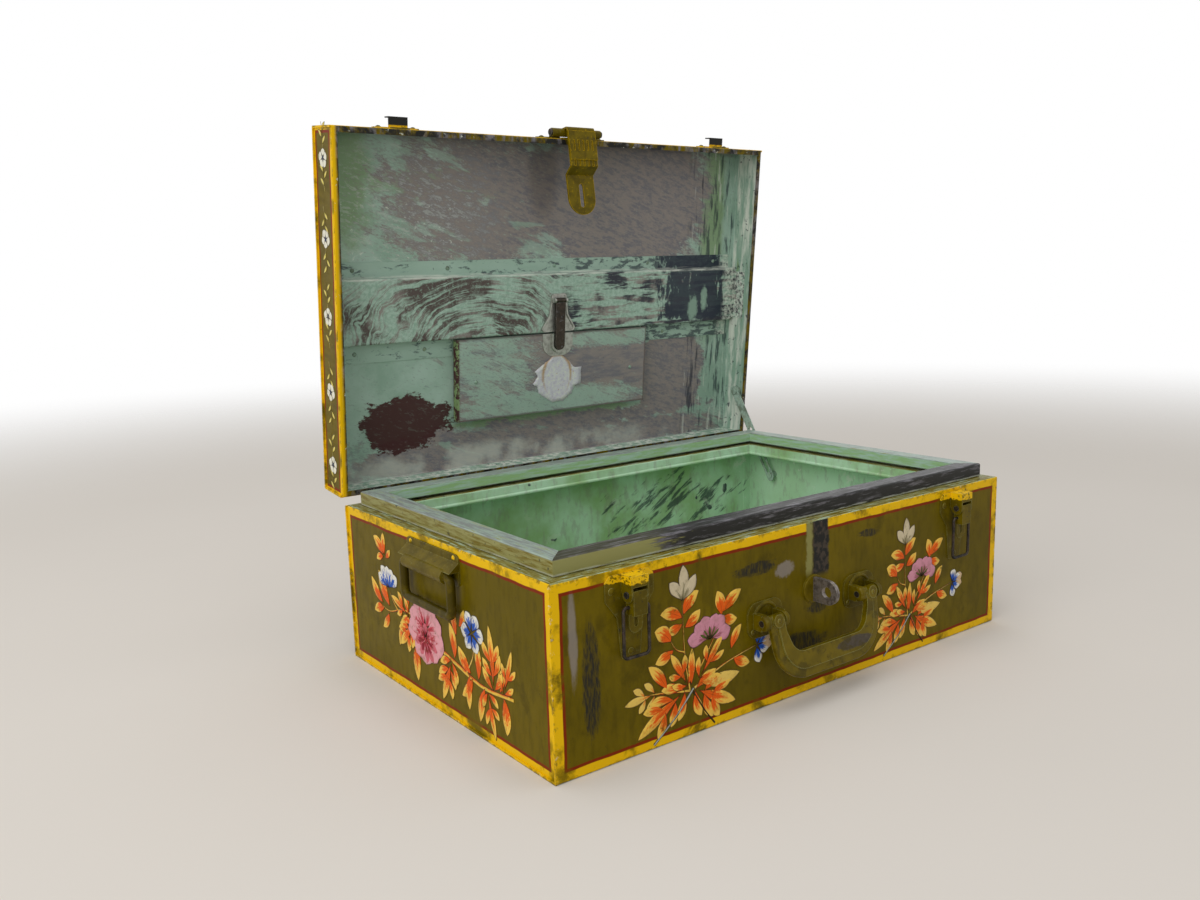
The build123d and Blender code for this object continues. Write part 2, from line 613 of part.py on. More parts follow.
# ---------------------------------------------------------------- hasp and staple
HASP_Y = -LID_HALF_DEPTH - HASP_PIN_OFF_LID
HASP_Z = LID_RIM + HASP_PIN_ABOVE_RIM
STAPLE_Z = LEDGE_HEIGHT - STAPLE_BELOW_LEDGE
TONGUE_Y = -HALF_DEPTH - HASP_TONGUE_OFF_FRONT
LOOP_CENTRE_Y = -HALF_DEPTH - STAPLE_REACH + STAPLE_HEIGHT / 2
DISC_FACE_Y = -HALF_DEPTH - STAPLE_DISC_THICKNESS
SLOT_NEAR = hypot(HASP_Y - DISC_FACE_Y, HASP_Z - STAPLE_Z - STAPLE_HEIGHT / 2) - HASP_SLOT_PLAY
SLOT_FAR = hypot(HASP_Y - LOOP_CENTRE_Y, HASP_Z - STAPLE_Z) + STAPLE_HEIGHT / 2 + HASP_SLOT_PLAY
HASP_TURN = OPEN_ANGLE - HASP_REST_LEAN


def hasp_rest(shape):
    """Carry a piece of the shut hasp with the lid, then let it fall forward over the lid's mouth."""
    pin = Axis((0, HASP_Y, HASP_Z), (-1, 0, 0))
    return opened(shape.rotate(pin, -HASP_TURN))


def groove_row(y, z_top, length):
    """A row of short upright grooves pressed into the face at y."""
    pitch = HASP_WIDTH / (HASP_GROOVES + 1)
    cut = None
    for i in range(HASP_GROOVES):
        x = -HASP_WIDTH / 2 + (i + 1) * pitch
        half = HASP_GROOVE_WIDTH / 2
        groove = block((x - half, x + half), (y, y + HASP_GROOVE_DEPTH), (z_top - length, z_top))
        cut = groove if cut is None else cut + groove
    return cut


def hasp_strap():
    """Knuckle, stood-off upper part, joggle and slotted tongue, in one bent strap."""
    stand = HASP_UPPER_STANDOFF
    thick = HASP_THICKNESS
    outer = HASP_Y - stand - thick / 2
    top = HASP_Z + HASP_KNUCKLE_RADIUS - thick / 2
    tongue = TONGUE_Y - thick / 2
    upper_end = HASP_Z - HASP_UPPER_LENGTH
    tongue_start = upper_end - HASP_JOGGLE_LENGTH
    tip = HASP_Z - SLOT_FAR - HASP_TIP_MARGIN
    path = [(HASP_Y, top), (outer, top), (outer, upper_end), (tongue, tongue_start), (tongue, tip)]
    half = HASP_WIDTH / 2
    strap = along_x(folded(path, thick), half)
    knuckle = rod_x((-half, half), HASP_Y, HASP_Z, HASP_KNUCKLE_RADIUS)
    strap += knuckle
    strap -= rod_x((-half - 1, half + 1), HASP_Y, HASP_Z, HASP_PIN_RADIUS + PIVOT_CLEARANCE)
    rounded = front_tip(half, tip, tongue_start)
    region_z = (tongue_start, HASP_Z + 2 * HASP_KNUCKLE_RADIUS)
    region = block((-half, half), (outer - thick, HALF_DEPTH), region_z)
    strap &= region + rounded
    slot = HASP_SLOT_WIDTH / 2
    slot_y = (tongue - thick, tongue + thick)
    low = HASP_Z - SLOT_FAR + slot
    high = HASP_Z - SLOT_NEAR - slot
    strap -= block((-slot, slot), slot_y, (low, high))
    for z in (low, high):
        strap -= rod_y(0, slot_y, z, slot)
    lower_grooves = HASP_Z - HASP_COVER_LENGTH
    strap -= groove_row(outer - thick / 2, lower_grooves, HASP_UPPER_LENGTH - HASP_COVER_LENGTH)
    return strap


def front_tip(half, tip, top):
    """The region of a tongue with a half-round end at the height tip."""
    y = (TONGUE_Y - 2 * HASP_THICKNESS, TONGUE_Y + HASP_THICKNESS)
    return block((-half, half), y, (tip + half, top)) + rod_y(0, y, tip + half, half)


def hasp_cover():
    """The second thickness riveted over the upper part of the strap, with its row of grooves."""
    face = HASP_Y - HASP_UPPER_STANDOFF - HASP_THICKNESS
    half = HASP_WIDTH / 2
    z = (HASP_Z - HASP_COVER_LENGTH, HASP_Z)
    cover = block((-half, half), (face - HASP_COVER_THICKNESS, face), z)
    middle = (z[0] + z[1] + HASP_GROOVE_LENGTH) / 2
    return cover - groove_row(face - HASP_COVER_THICKNESS, middle, HASP_GROOVE_LENGTH)


def hasp_pin():
    """The long pin of the hasp, headed at both ends."""
    half = HASP_PIN_LENGTH / 2
    pin = rod_x((-half, half), HASP_Y, HASP_Z, HASP_PIN_RADIUS)
    for side in (-1, 1):
        head = sorted((side * half, side * (half + HASP_HEAD_HEIGHT)))
        pin += rod_x(head, HASP_Y, HASP_Z, HASP_HEAD_RADIUS)
    return pin


def lobed_plate(width, height, z_mid, face_y, thickness):
    """A plate with two round lobes joined by a taller middle, flat against a face that looks to -Y."""
    radius = height / 2
    lobe = radius * LOBE_HEIGHT_SHARE
    y = (face_y - thickness, face_y)
    reach = width / 2 - lobe
    plate = block((-reach, reach), y, (z_mid - lobe, z_mid + lobe))
    for x in (-reach, reach):
        plate += rod_y(x, y, z_mid, lobe)
    centre_half = width / 2 * LOBE_MIDDLE_SHARE
    plate += block((-centre_half, centre_half), y, (z_mid - radius, z_mid + radius))
    return plate


def hasp_bracket():
    """The plate on the lid's front that holds the ends of the hasp pin."""
    middle = LID_RIM + SHEET + HASP_BRACKET_HEIGHT / 2
    face = -LID_HALF_DEPTH - HASP_BRACKET_SHEET
    plate = lobed_plate(
        HASP_BRACKET_WIDTH, HASP_BRACKET_HEIGHT, middle, -LID_HALF_DEPTH, HASP_BRACKET_SHEET
    )
    inner = HASP_WIDTH / 2 + SIDE_CLEARANCE
    outer = HASP_PIN_LENGTH / 2 - SIDE_CLEARANCE
    for side in (-1, 1):
        span = sorted((side * inner, side * outer))
        plate += rod_x(span, HASP_Y, HASP_Z, HASP_KNUCKLE_RADIUS)
        web_z = (HASP_Z + HASP_KNUCKLE_RADIUS - HASP_BRACKET_SHEET, HASP_Z + HASP_KNUCKLE_RADIUS)
        plate += block(span, (HASP_Y, face), web_z)
    return plate - rod_x((-outer - 1, outer + 1), HASP_Y, HASP_Z, HASP_PIN_RADIUS + PIVOT_CLEARANCE)


def staple_disc():
    """The round boss that the staple is riveted through."""
    disc = rod_y(0, (DISC_FACE_Y, -HALF_DEPTH), STAPLE_Z, STAPLE_DISC_RADIUS)
    rim = disc.faces().sort_by(Axis.Y)[0].edges()
    return fillet(rim, STAPLE_DISC_ROUNDING)


def staple_loop():
    """The upright D-shaped staple with its padlock eye."""
    half = STAPLE_THICKNESS / 2
    radius = STAPLE_HEIGHT / 2
    loop = block((-half, half), (LOOP_CENTRE_Y, DISC_FACE_Y), (STAPLE_Z - radius, STAPLE_Z + radius))
    loop += rod_x((-half, half), LOOP_CENTRE_Y, STAPLE_Z, radius)
    eye_y = -HALF_DEPTH - STAPLE_EYE_OFF_FRONT
    return loop - rod_x((-2 * half, 2 * half), eye_y, STAPLE_Z, STAPLE_EYE_RADIUS)


# ---------------------------------------------------------------- toggle latches
LATCH_TOP = LEDGE_HEIGHT - LATCH_TOP_BELOW_LEDGE
LATCH_PIVOT_Z = LATCH_TOP - LATCH_PIVOT_BELOW_TOP
LATCH_PIVOT_Y = -HALF_DEPTH - LATCH_PIVOT_OFF_FRONT
LATCH_FRONT_Y = -HALF_DEPTH - LATCH_HOUSING_DEPTH
BAIL_PIVOT_Z = LATCH_PIVOT_Z - BAIL_BELOW_PIVOT
LATCH_LOBE_Z = LATCH_TOP - LATCH_LOBE_HEIGHT / 2
LATCH_RIVET_X = LATCH_PLATE_WIDTH / 2 - LATCH_RIVET_FROM_EDGE


def latch_plate(x):
    """The plate behind a latch, with a lobe each side at the top and a narrow foot."""
    lobe = LATCH_PLATE_WIDTH / 2
    foot = LATCH_PLATE_FOOT_WIDTH / 2
    low = LATCH_TOP - LATCH_PLATE_HEIGHT
    shoulder = LATCH_TOP - LATCH_LOBE_HEIGHT
    chamfer = LATCH_LOBE_CHAMFER
    neck = (foot + LATCH_NECK_FLARE, shoulder - LATCH_NECK_BELOW_LOBE)
    half = [(lobe, LATCH_TOP - chamfer), (lobe, shoulder + chamfer), neck, (foot, low)]
    points = [(x - px, pz) for px, pz in half] + [(x + px, pz) for px, pz in reversed(half)]
    points += [(x + lobe - chamfer, LATCH_TOP), (x - lobe + chamfer, LATCH_TOP)]
    plate = front_prism(points, (-HALF_DEPTH - LATCH_SHEET, -HALF_DEPTH))
    upright = plate.edges().filter_by(Axis.Y)
    return fillet(upright, LATCH_PLATE_ROUNDING)


def latch_housing(x):
    """Two cheeks and a hood, folded from one sheet, that carry the lever pin."""
    half = LATCH_HOUSING_WIDTH / 2
    back = -HALF_DEPTH - LATCH_SHEET
    housing = block((x - half, x + half), (LATCH_FRONT_Y, back), (LATCH_PIVOT_Z, LATCH_TOP))
    housing += rod_x((x - half, x + half), LATCH_PIVOT_Y, LATCH_PIVOT_Z, LATCH_CHEEK_RADIUS - LATCH_SHEET)
    inner = half - LATCH_SHEET
    space_z = (LATCH_PIVOT_Z - 2 * LATCH_CHEEK_RADIUS, LATCH_TOP - LATCH_SHEET)
    housing -= block((x - inner, x + inner), (LATCH_FRONT_Y + LATCH_SHEET, back + 1), space_z)
    mouth_z = (space_z[0], LATCH_TOP - LATCH_HOOD_HEIGHT)
    housing -= block((x - inner, x + inner), (LATCH_FRONT_Y - 1, back + 1), mouth_z)
    return housing - rod_x((x - 2 * half, x + 2 * half), LATCH_PIVOT_Y, LATCH_PIVOT_Z, LATCH_PIN_RADIUS)


def latch_pin(x):
    """The lever pin, headed outside both cheeks."""
    half = LATCH_HOUSING_WIDTH / 2
    pin = rod_x((x - half, x + half), LATCH_PIVOT_Y, LATCH_PIVOT_Z, LATCH_PIN_RADIUS)
    for side in (-1, 1):
        head = sorted((x + side * half, x + side * (half + LATCH_PIN_HEAD_HEIGHT)))
        pin += rod_x(head, LATCH_PIVOT_Y, LATCH_PIVOT_Z, LATCH_PIN_HEAD_RADIUS)
    return pin


def latch_lever(x):
    """The channel-shaped lever with its set-back finger tab."""
    half = LATCH_HOUSING_WIDTH / 2 - LATCH_SHEET - SIDE_CLEARANCE
    low = LATCH_PIVOT_Z - LEVER_BELOW_PIVOT
    high = LATCH_PIVOT_Z + LEVER_ABOVE_PIVOT
    back = LATCH_FRONT_Y + LEVER_FLANGE_DEPTH
    lever = block((x - half, x + half), (LATCH_FRONT_Y, back), (low, high))
    inner = half - LATCH_SHEET
    lever -= block((x - inner, x + inner), (LATCH_FRONT_Y + LATCH_SHEET, back + 1), (low - 1, high + 1))
    tab_face = LATCH_FRONT_Y + LEVER_TAB_SETBACK
    lever += block((x - half, x + half), (LATCH_FRONT_Y, tab_face + LATCH_SHEET), (low, low + LATCH_SHEET))
    tip = low - LEVER_TAB_LENGTH + half
    tab_y = (tab_face, tab_face + LATCH_SHEET)
    lever += block((x - half, x + half), tab_y, (tip, low + LATCH_SHEET)) + rod_y(x, tab_y, tip, half)
    slot = LEVER_TAB_SLOT_WIDTH / 2
    slot_y = (tab_face - 1, tab_face + 2 * LATCH_SHEET)
    slot_low = low - LEVER_TAB_SLOT_LENGTH
    lever -= block((x - slot, x + slot), slot_y, (slot_low, low - slot))
    lever -= rod_y(x, slot_y, slot_low, slot)
    pin_bore = LATCH_PIN_RADIUS + PIVOT_CLEARANCE
    lever -= rod_x((x - 2 * half, x + 2 * half), LATCH_PIVOT_Y, LATCH_PIVOT_Z, pin_bore)
    wire_bore = BAIL_WIRE_RADIUS + PIVOT_CLEARANCE
    return lever - rod_x((x - 2 * half, x + 2 * half), LATCH_PIVOT_Y, BAIL_PIVOT_Z, wire_bore)


def wire_loop(points, corner_radius, wire_radius, plane):
    """A round wire bent along a path with rounded corners."""
    path = FilletPolyline(*points, radius=corner_radius)
    path = plane * path
    start = Plane(origin=path @ 0, z_dir=path % 0)
    return sweep(start * Circle(wire_radius), path=path)


def latch_bail(x):
    """The wire loop that is hooked over the lid's catch; its ends turn into the lever."""
    inner = LATCH_HOUSING_WIDTH / 2 - 2 * LATCH_SHEET - SIDE_CLEARANCE
    low = -BAIL_LENGTH
    half = BAIL_HALF_WIDTH
    points = [(-inner, 0), (-half, 0), (-half, low), (half, low), (half, 0), (inner, 0)]
    plane = Plane(origin=(x, LATCH_PIVOT_Y, BAIL_PIVOT_Z), x_dir=(1, 0, 0), z_dir=(0, -1, 0))
    return wire_loop(points, BAIL_CORNER_RADIUS, BAIL_WIRE_RADIUS, plane)


def lid_catch(x):
    """The plate and bent hook on the lid's front that a bail closes over."""
    face = -LID_HALF_DEPTH - CATCH_SHEET
    middle = LID_RIM + SHEET + CATCH_PLATE_HEIGHT / 2
    plate = lobed_plate(CATCH_PLATE_WIDTH, CATCH_PLATE_HEIGHT, middle, -LID_HALF_DEPTH, CATCH_SHEET)
    half = CATCH_HOOK_WIDTH / 2
    floor_z = LID_RIM + CATCH_FLOOR_ABOVE_RIM
    reach_y = -LID_HALF_DEPTH - CATCH_HOOK_REACH
    hook = block((-half, half), (reach_y, face), (floor_z, floor_z + CATCH_SHEET))
    hook += block((-half, half), (reach_y, reach_y + CATCH_SHEET), (floor_z, floor_z + CATCH_LIP_HEIGHT))
    return Pos(x, 0, 0) * (plate + hook)


# ---------------------------------------------------------------- front handle
HANDLE_PIVOT_Y = -HALF_DEPTH - HANDLE_PIVOT_OFF_FRONT


def handle_ear(side):
    """A riveted plate with two lugs that hold one end of the front handle."""
    x = side * HANDLE_EAR_SPACING / 2
    face = -HALF_DEPTH - HANDLE_EAR_SHEET
    half_w = HANDLE_EAR_WIDTH / 2
    half_h = HANDLE_EAR_HEIGHT / 2
    plate_z = (HANDLE_PIVOT_HEIGHT - half_h, HANDLE_PIVOT_HEIGHT + half_h)
    plate = block((x - half_w, x + half_w), (face, -HALF_DEPTH), plate_z)
    plate = fillet(plate.edges().filter_by(Axis.Y), HANDLE_EAR_CORNER)
    arch = Pos(x, face, HANDLE_PIVOT_HEIGHT) * Rot(90, 0, 0) * Torus(HANDLE_ARCH_RADIUS, HANDLE_ARCH_RISE)
    arch_y = (face - 2 * HANDLE_ARCH_RISE, face)
    arch_z = (HANDLE_PIVOT_HEIGHT + HANDLE_LUG_RADIUS, HANDLE_PIVOT_HEIGHT + half_h)
    plate += arch & block((x - half_w, x + half_w), arch_y, arch_z)
    start = HANDLE_EYE_LENGTH / 2 + SIDE_CLEARANCE
    for lug_side in (-1, 1):
        span = sorted((x + lug_side * start, x + lug_side * (start + HANDLE_LUG_THICKNESS)))
        lug = rod_x(span, HANDLE_PIVOT_Y, HANDLE_PIVOT_HEIGHT, HANDLE_LUG_RADIUS)
        outer_rim = lug.edges().filter_by(GeomType.CIRCLE).sort_by(Axis.X)[-1 if lug_side > 0 else 0]
        plate += fillet(outer_rim, HANDLE_LUG_ROUNDING)
        root_z = (HANDLE_PIVOT_HEIGHT - HANDLE_LUG_RADIUS, HANDLE_PIVOT_HEIGHT + HANDLE_LUG_RADIUS)
        plate += block(span, (HANDLE_PIVOT_Y, face), root_z)
    reach = HANDLE_EAR_WIDTH
    return plate - rod_x((x - reach, x + reach), HANDLE_PIVOT_Y, HANDLE_PIVOT_HEIGHT, HANDLE_PIN_RADIUS)


def handle_pin(side):
    """The pin through the two lugs and the handle's eye."""
    x = side * HANDLE_EAR_SPACING / 2
    half = HANDLE_EYE_LENGTH / 2 + SIDE_CLEARANCE + HANDLE_LUG_THICKNESS
    return rod_x((x - half, x + half), HANDLE_PIVOT_Y, HANDLE_PIVOT_HEIGHT, HANDLE_PIN_RADIUS)


def handle_outline(top_half, foot_half, drop, corner, neck=0):
    """A U-shaped outline, straight along its neck, with its two lower corners rounded."""
    right = [(foot_half, -drop), (top_half, -neck), (top_half, 0)]
    if not neck:
        right.pop()
    left = [(-x, y) for x, y in reversed(right)]
    sides = FilletPolyline(*left, *right, radius=corner)
    return make_face(sides.edges() + [Line((top_half, 0), (-top_half, 0))])


def lean_out(shape):
    """Swing what hangs on the front handle's pins a little away from the front, as it rests."""
    pins = Pos(0, HANDLE_PIVOT_Y, HANDLE_PIVOT_HEIGHT)
    return pins * Rot(-HANDLE_LEAN, 0, 0) * pins.inverse() * shape


def front_handle():
    """The pressed strap handle: eyes at the top, a broad grip and a band raised from its flange."""
    half_eye = HANDLE_EYE_LENGTH / 2
    top_outer = HANDLE_EAR_SPACING / 2 + half_eye
    top_inner = top_outer - HANDLE_ARM_WIDTH
    inner_foot = HANDLE_FOOT_HALF_WIDTH - HANDLE_INNER_SETBACK
    outer = handle_outline(top_outer, HANDLE_FOOT_HALF_WIDTH, HANDLE_DROP, HANDLE_CORNER_RADIUS)
    inner_drop = HANDLE_DROP - HANDLE_GRIP_WIDTH
    inner = handle_outline(top_inner, inner_foot, inner_drop, HANDLE_INNER_CORNER, HANDLE_NECK)
    strap = extrude(outer, amount=HANDLE_THICKNESS / 2, both=True)
    front_rim = strap.faces().sort_by(Axis.Z)[-1].edges().sort_by(Axis.Y)[:-1]
    strap = fillet(front_rim, HANDLE_THICKNESS * HANDLE_EDGE_ROUNDING_SHARE)
    band = handle_outline(
        top_outer - HANDLE_FLANGE_WIDTH,
        HANDLE_FOOT_HALF_WIDTH - HANDLE_FLANGE_WIDTH,
        HANDLE_DROP - HANDLE_FLANGE_WIDTH,
        HANDLE_CORNER_RADIUS - HANDLE_FLANGE_WIDTH,
    )
    strap += extrude(band, amount=HANDLE_THICKNESS / 2 + HANDLE_BAND_RISE)
    strap -= extrude(inner, amount=HANDLE_THICKNESS, both=True)
    strap = Pos(0, 0, HANDLE_FORWARD) * strap
    for side in (-1, 1):
        x = side * HANDLE_EAR_SPACING / 2
        eye = Pos(x, 0, 0) * Rot(0, 90, 0) * Cylinder(HANDLE_EYE_RADIUS, HANDLE_EYE_LENGTH)
        strap += eye
        boss_middle = HANDLE_BOSS_REACH / 2
        strap += Pos(x, 0, boss_middle) * Cylinder(HANDLE_BOSS_RADIUS, HANDLE_BOSS_REACH)
        bore = Cylinder(HANDLE_PIN_RADIUS + PIVOT_CLEARANCE, 2 * HANDLE_EYE_LENGTH)
        strap -= Pos(x, 0, 0) * Rot(0, 90, 0) * bore
    place = Plane(origin=(0, HANDLE_PIVOT_Y, HANDLE_PIVOT_HEIGHT), x_dir=(1, 0, 0), z_dir=(0, -1, 0))
    return lean_out(place * strap)


def front_handle_rivets():
    """The rivet head in the middle of each of the handle's two bosses."""
    half = HANDLE_EAR_SPACING / 2
    places = [(-half, HANDLE_PIVOT_HEIGHT), (half, HANDLE_PIVOT_HEIGHT)]
    face = HANDLE_PIVOT_Y - HANDLE_BOSS_REACH
    heads = heads_front(places, face, HANDLE_RIVET_RADIUS, HANDLE_RIVET_RISE)
    return [lean_out(head) for head in heads]


# ---------------------------------------------------------------- end handles
END_AXIS_X = END_FACE + END_AXIS_OFF_PANEL


def end_bracket():
    """The plate on the right end, rolled into a sleeve for the handle's rod."""
    plate_x = (END_FACE, END_FACE + END_PLATE_SHEET)
    half = END_PLATE_WIDTH / 2
    plate_z = (END_HANDLE_HEIGHT - END_PLATE_BELOW_AXIS, END_HANDLE_HEIGHT + END_PLATE_ABOVE_AXIS)
    plate = block(plate_x, (-half, half), plate_z)
    plate = fillet(plate.edges().filter_by(Axis.X), END_PLATE_CORNER)
    sleeve = END_SLEEVE_LENGTH / 2
    plate += rod_y(END_AXIS_X, (-sleeve, sleeve), END_HANDLE_HEIGHT, END_SLEEVE_RADIUS)
    lean = radians(END_HOOD_ANGLE)
    brow_x = END_AXIS_X + END_SLEEVE_RADIUS * cos(lean)
    brow_z = END_HANDLE_HEIGHT + END_SLEEVE_RADIUS * sin(lean)
    shoulder = plate_z[1] - END_FLANGE_HEIGHT
    section = [(END_FACE, shoulder), (plate_x[1], shoulder), (brow_x, brow_z)]
    section += [(END_AXIS_X, END_HANDLE_HEIGHT), (END_FACE, END_HANDLE_HEIGHT)]
    hood = make_face(Polyline(*section, close=True))
    plate += along_y(hood, sleeve)
    clear_z = END_HANDLE_HEIGHT + END_ROD_RADIUS + END_HOOD_ABOVE_ROD
    plate += along_y(hood, half) & block((END_FACE, brow_x), (-half, half), (clear_z, plate_z[1]))
    bore = END_ROD_RADIUS + PIVOT_CLEARANCE
    return plate - rod_y(END_AXIS_X, (-half, half), END_HANDLE_HEIGHT, bore)


def end_rod():
    """The hanging rod handle of the right end; its two ends turn into the sleeve."""
    span = END_ROD_HALF_SPAN
    inner = END_SLEEVE_LENGTH / 2 - END_ROD_STUB
    points = [(-inner, 0), (-span, 0), (-span, -END_ROD_DROP), (span, -END_ROD_DROP), (span, 0), (inner, 0)]
    plane = Plane(origin=(END_AXIS_X, 0, END_HANDLE_HEIGHT), x_dir=(0, 1, 0), z_dir=(1, 0, 0))
    return wire_loop(points, END_ROD_BEND, END_ROD_RADIUS, plane)


# ---------------------------------------------------------------- pocket in the lid
BAND_FACE_Z = LID_PANEL - BAND_STANDOFF
DOOR_FACE_Z = LID_PANEL - DOOR_STANDOFF
DOOR_TOP = BAND_FACE_BOTTOM + DOOR_TOP_GAP
DOOR_BOTTOM = DOOR_TOP + DOOR_HEIGHT
DOOR_AXIS_Y = DOOR_BOTTOM - DOOR_KNUCKLE_RADIUS
DOOR_AXIS_Z = LID_PANEL - DOOR_KNUCKLE_RADIUS - DOOR_KNUCKLE_OFF_PANEL
CLASP_PLATE_FACE = BAND_FACE_Z - CLASP_SHEET
CLASP_AXIS_Z = CLASP_PLATE_FACE - CLASP_PIVOT_OFF_PLATE
BAND_HALF = LID_END_FACE - LID_SEAM_FLANGE


def pocket_band():
    """The hat-shaped strip across the lid, cut away at its lower edge behind the door."""
    flange_z = LID_PANEL - SHEET / 2
    face_z = BAND_FACE_Z + SHEET / 2
    top_web = BAND_FACE_TOP + SHEET / 2
    low_web = BAND_FACE_BOTTOM - SHEET / 2
    path = [
        (BAND_TOP_EDGE, flange_z),
        (top_web, flange_z),
        (top_web, face_z),
        (low_web, face_z),
        (low_web, flange_z),
        (BAND_BOTTOM_EDGE, flange_z),
    ]
    band = along_x(folded(path), BAND_HALF)
    cut_half = DOOR_WIDTH / 2 + DOOR_TOP_GAP
    cut_z = (BAND_FACE_Z + SHEET, LID_PANEL + 1)
    band -= block((-cut_half, cut_half), (BAND_FACE_BOTTOM - 2 * SHEET, BAND_BOTTOM_EDGE + 1), cut_z)
    wall = LID_END_FACE - SHEET
    tab_y = (-BAND_TAB_WIDTH / 2, BAND_TAB_WIDTH / 2)
    tab = block((BAND_HALF - 1, wall), tab_y, (BAND_FACE_Z, BAND_FACE_Z + SHEET))
    tab += block((wall - SHEET, wall), tab_y, (BAND_FACE_Z - BAND_TAB_DROP, BAND_FACE_Z + SHEET))
    for piece in both_ends(tab).values():
        band += piece
    return band


def door_knuckle_spans():
    """Where the door's own knuckles stand along X."""
    half = DOOR_KNUCKLE_LENGTH / 2
    middle = DOOR_HINGE_SPACING / 2
    return [(side * middle - half, side * middle + half) for side in (-1, 1)]


def pocket_door():
    """The shallow tray that shuts the pocket, with a knuckle at each hinge."""
    half = DOOR_WIDTH / 2
    face = (DOOR_FACE_Z, DOOR_FACE_Z + SHEET)
    door = block((-half, half), (DOOR_TOP, DOOR_BOTTOM), face)
    flange_z = (DOOR_FACE_Z, DOOR_FACE_Z + SHEET + DOOR_FLANGE_DEPTH)
    for side in (-1, 1):
        door += block(sorted((side * half, side * (half - SHEET))), (DOOR_TOP, DOOR_BOTTOM), flange_z)
    sill_z = (DOOR_FACE_Z, DOOR_AXIS_Z - DOOR_KNUCKLE_RADIUS - SIDE_CLEARANCE)
    door += block((-half, half), (DOOR_BOTTOM - SHEET, DOOR_BOTTOM), sill_z)
    for span in door_knuckle_spans():
        door += block(span, (DOOR_BOTTOM - SHEET, DOOR_BOTTOM), (DOOR_FACE_Z, DOOR_AXIS_Z))
        door += rod_x(span, DOOR_AXIS_Y, DOOR_AXIS_Z, DOOR_KNUCKLE_RADIUS)
    return door - rod_x((-half, half), DOOR_AXIS_Y, DOOR_AXIS_Z, DOOR_PIN_RADIUS + PIVOT_CLEARANCE)


def pocket_hinge_leaves():
    """The two leaves under the door on the lid panel, each with a knuckle either side of the door's."""
    leaves = []
    for low, high in door_knuckle_spans():
        start = low - SIDE_CLEARANCE - DOOR_PANEL_KNUCKLE
        end = high + SIDE_CLEARANCE + DOOR_PANEL_KNUCKLE
        leaf_y = (DOOR_AXIS_Y - DOOR_LEAF_REACH, DOOR_AXIS_Y - DOOR_KNUCKLE_RADIUS - SIDE_CLEARANCE)
        leaf = block((start, end), leaf_y, (LID_PANEL - SHEET, LID_PANEL))
        for span in ((start, low - SIDE_CLEARANCE), (high + SIDE_CLEARANCE, end)):
            leaf += block(span, (leaf_y[1] - 1, DOOR_AXIS_Y), (LID_PANEL - SHEET, LID_PANEL))
            leaf += rod_x(span, DOOR_AXIS_Y, DOOR_AXIS_Z, DOOR_KNUCKLE_RADIUS)
        leaf -= rod_x((start - 1, end + 1), DOOR_AXIS_Y, DOOR_AXIS_Z, DOOR_PIN_RADIUS)
        leaves.append(leaf)
    return leaves


def pocket_hinge_pins():
    """The two short pins of the pocket door."""
    reach = SIDE_CLEARANCE + DOOR_PANEL_KNUCKLE
    spans = [(low - reach, high + reach) for low, high in door_knuckle_spans()]
    return [rod_x(span, DOOR_AXIS_Y, DOOR_AXIS_Z, DOOR_PIN_RADIUS) for span in spans]


def clasp_plate():
    """The bell-shaped plate on the band with two small lugs for the tongue."""
    y_top = CLASP_PIVOT_FROM_MIDDLE - CLASP_PLATE_ABOVE
    y_low = BAND_FACE_BOTTOM - SHEET
    top = CLASP_PLATE_TOP_WIDTH / 2
    low = CLASP_PLATE_WIDTH / 2
    waist_y = y_top + (y_low - y_top) * CLASP_WAIST_SHARE
    waist = top + CLASP_WAIST_FLARE
    points = [(-top, y_top), (top, y_top), (waist, waist_y), (low, y_low), (-low, y_low), (-waist, waist_y)]
    outline = make_face(Polyline(*points, close=True))
    outline = fillet(outline.vertices(), CLASP_CORNER)
    plate = extrude(Pos(0, 0, CLASP_PLATE_FACE) * outline, amount=CLASP_SHEET)
    rim = outline - offset(outline, amount=-CLASP_RIM_WIDTH)
    plate += extrude(Pos(0, 0, CLASP_PLATE_FACE - CLASP_RIM_RISE) * rim, amount=CLASP_RIM_RISE)
    start = TONGUE_WIDTH / 2 + SIDE_CLEARANCE
    pivot_y = CLASP_PIVOT_FROM_MIDDLE
    root_y = (pivot_y - CLASP_BARREL_RADIUS, pivot_y + CLASP_BARREL_RADIUS)
    for side in (-1, 1):
        span = sorted((side * start, side * (start + CLASP_LUG_THICKNESS)))
        plate += rod_x(span, CLASP_PIVOT_FROM_MIDDLE, CLASP_AXIS_Z, CLASP_BARREL_RADIUS)
        plate += block(span, root_y, (CLASP_AXIS_Z, CLASP_PLATE_FACE))
    reach = start + CLASP_LUG_THICKNESS + 1
    return plate - rod_x((-reach, reach), CLASP_PIVOT_FROM_MIDDLE, CLASP_AXIS_Z, CLASP_PIN_RADIUS)


def clasp_pin():
    """The pin through the clasp's lugs."""
    reach = TONGUE_WIDTH / 2 + SIDE_CLEARANCE + CLASP_LUG_THICKNESS
    return rod_x((-reach, reach), CLASP_PIVOT_FROM_MIDDLE, CLASP_AXIS_Z, CLASP_PIN_RADIUS)


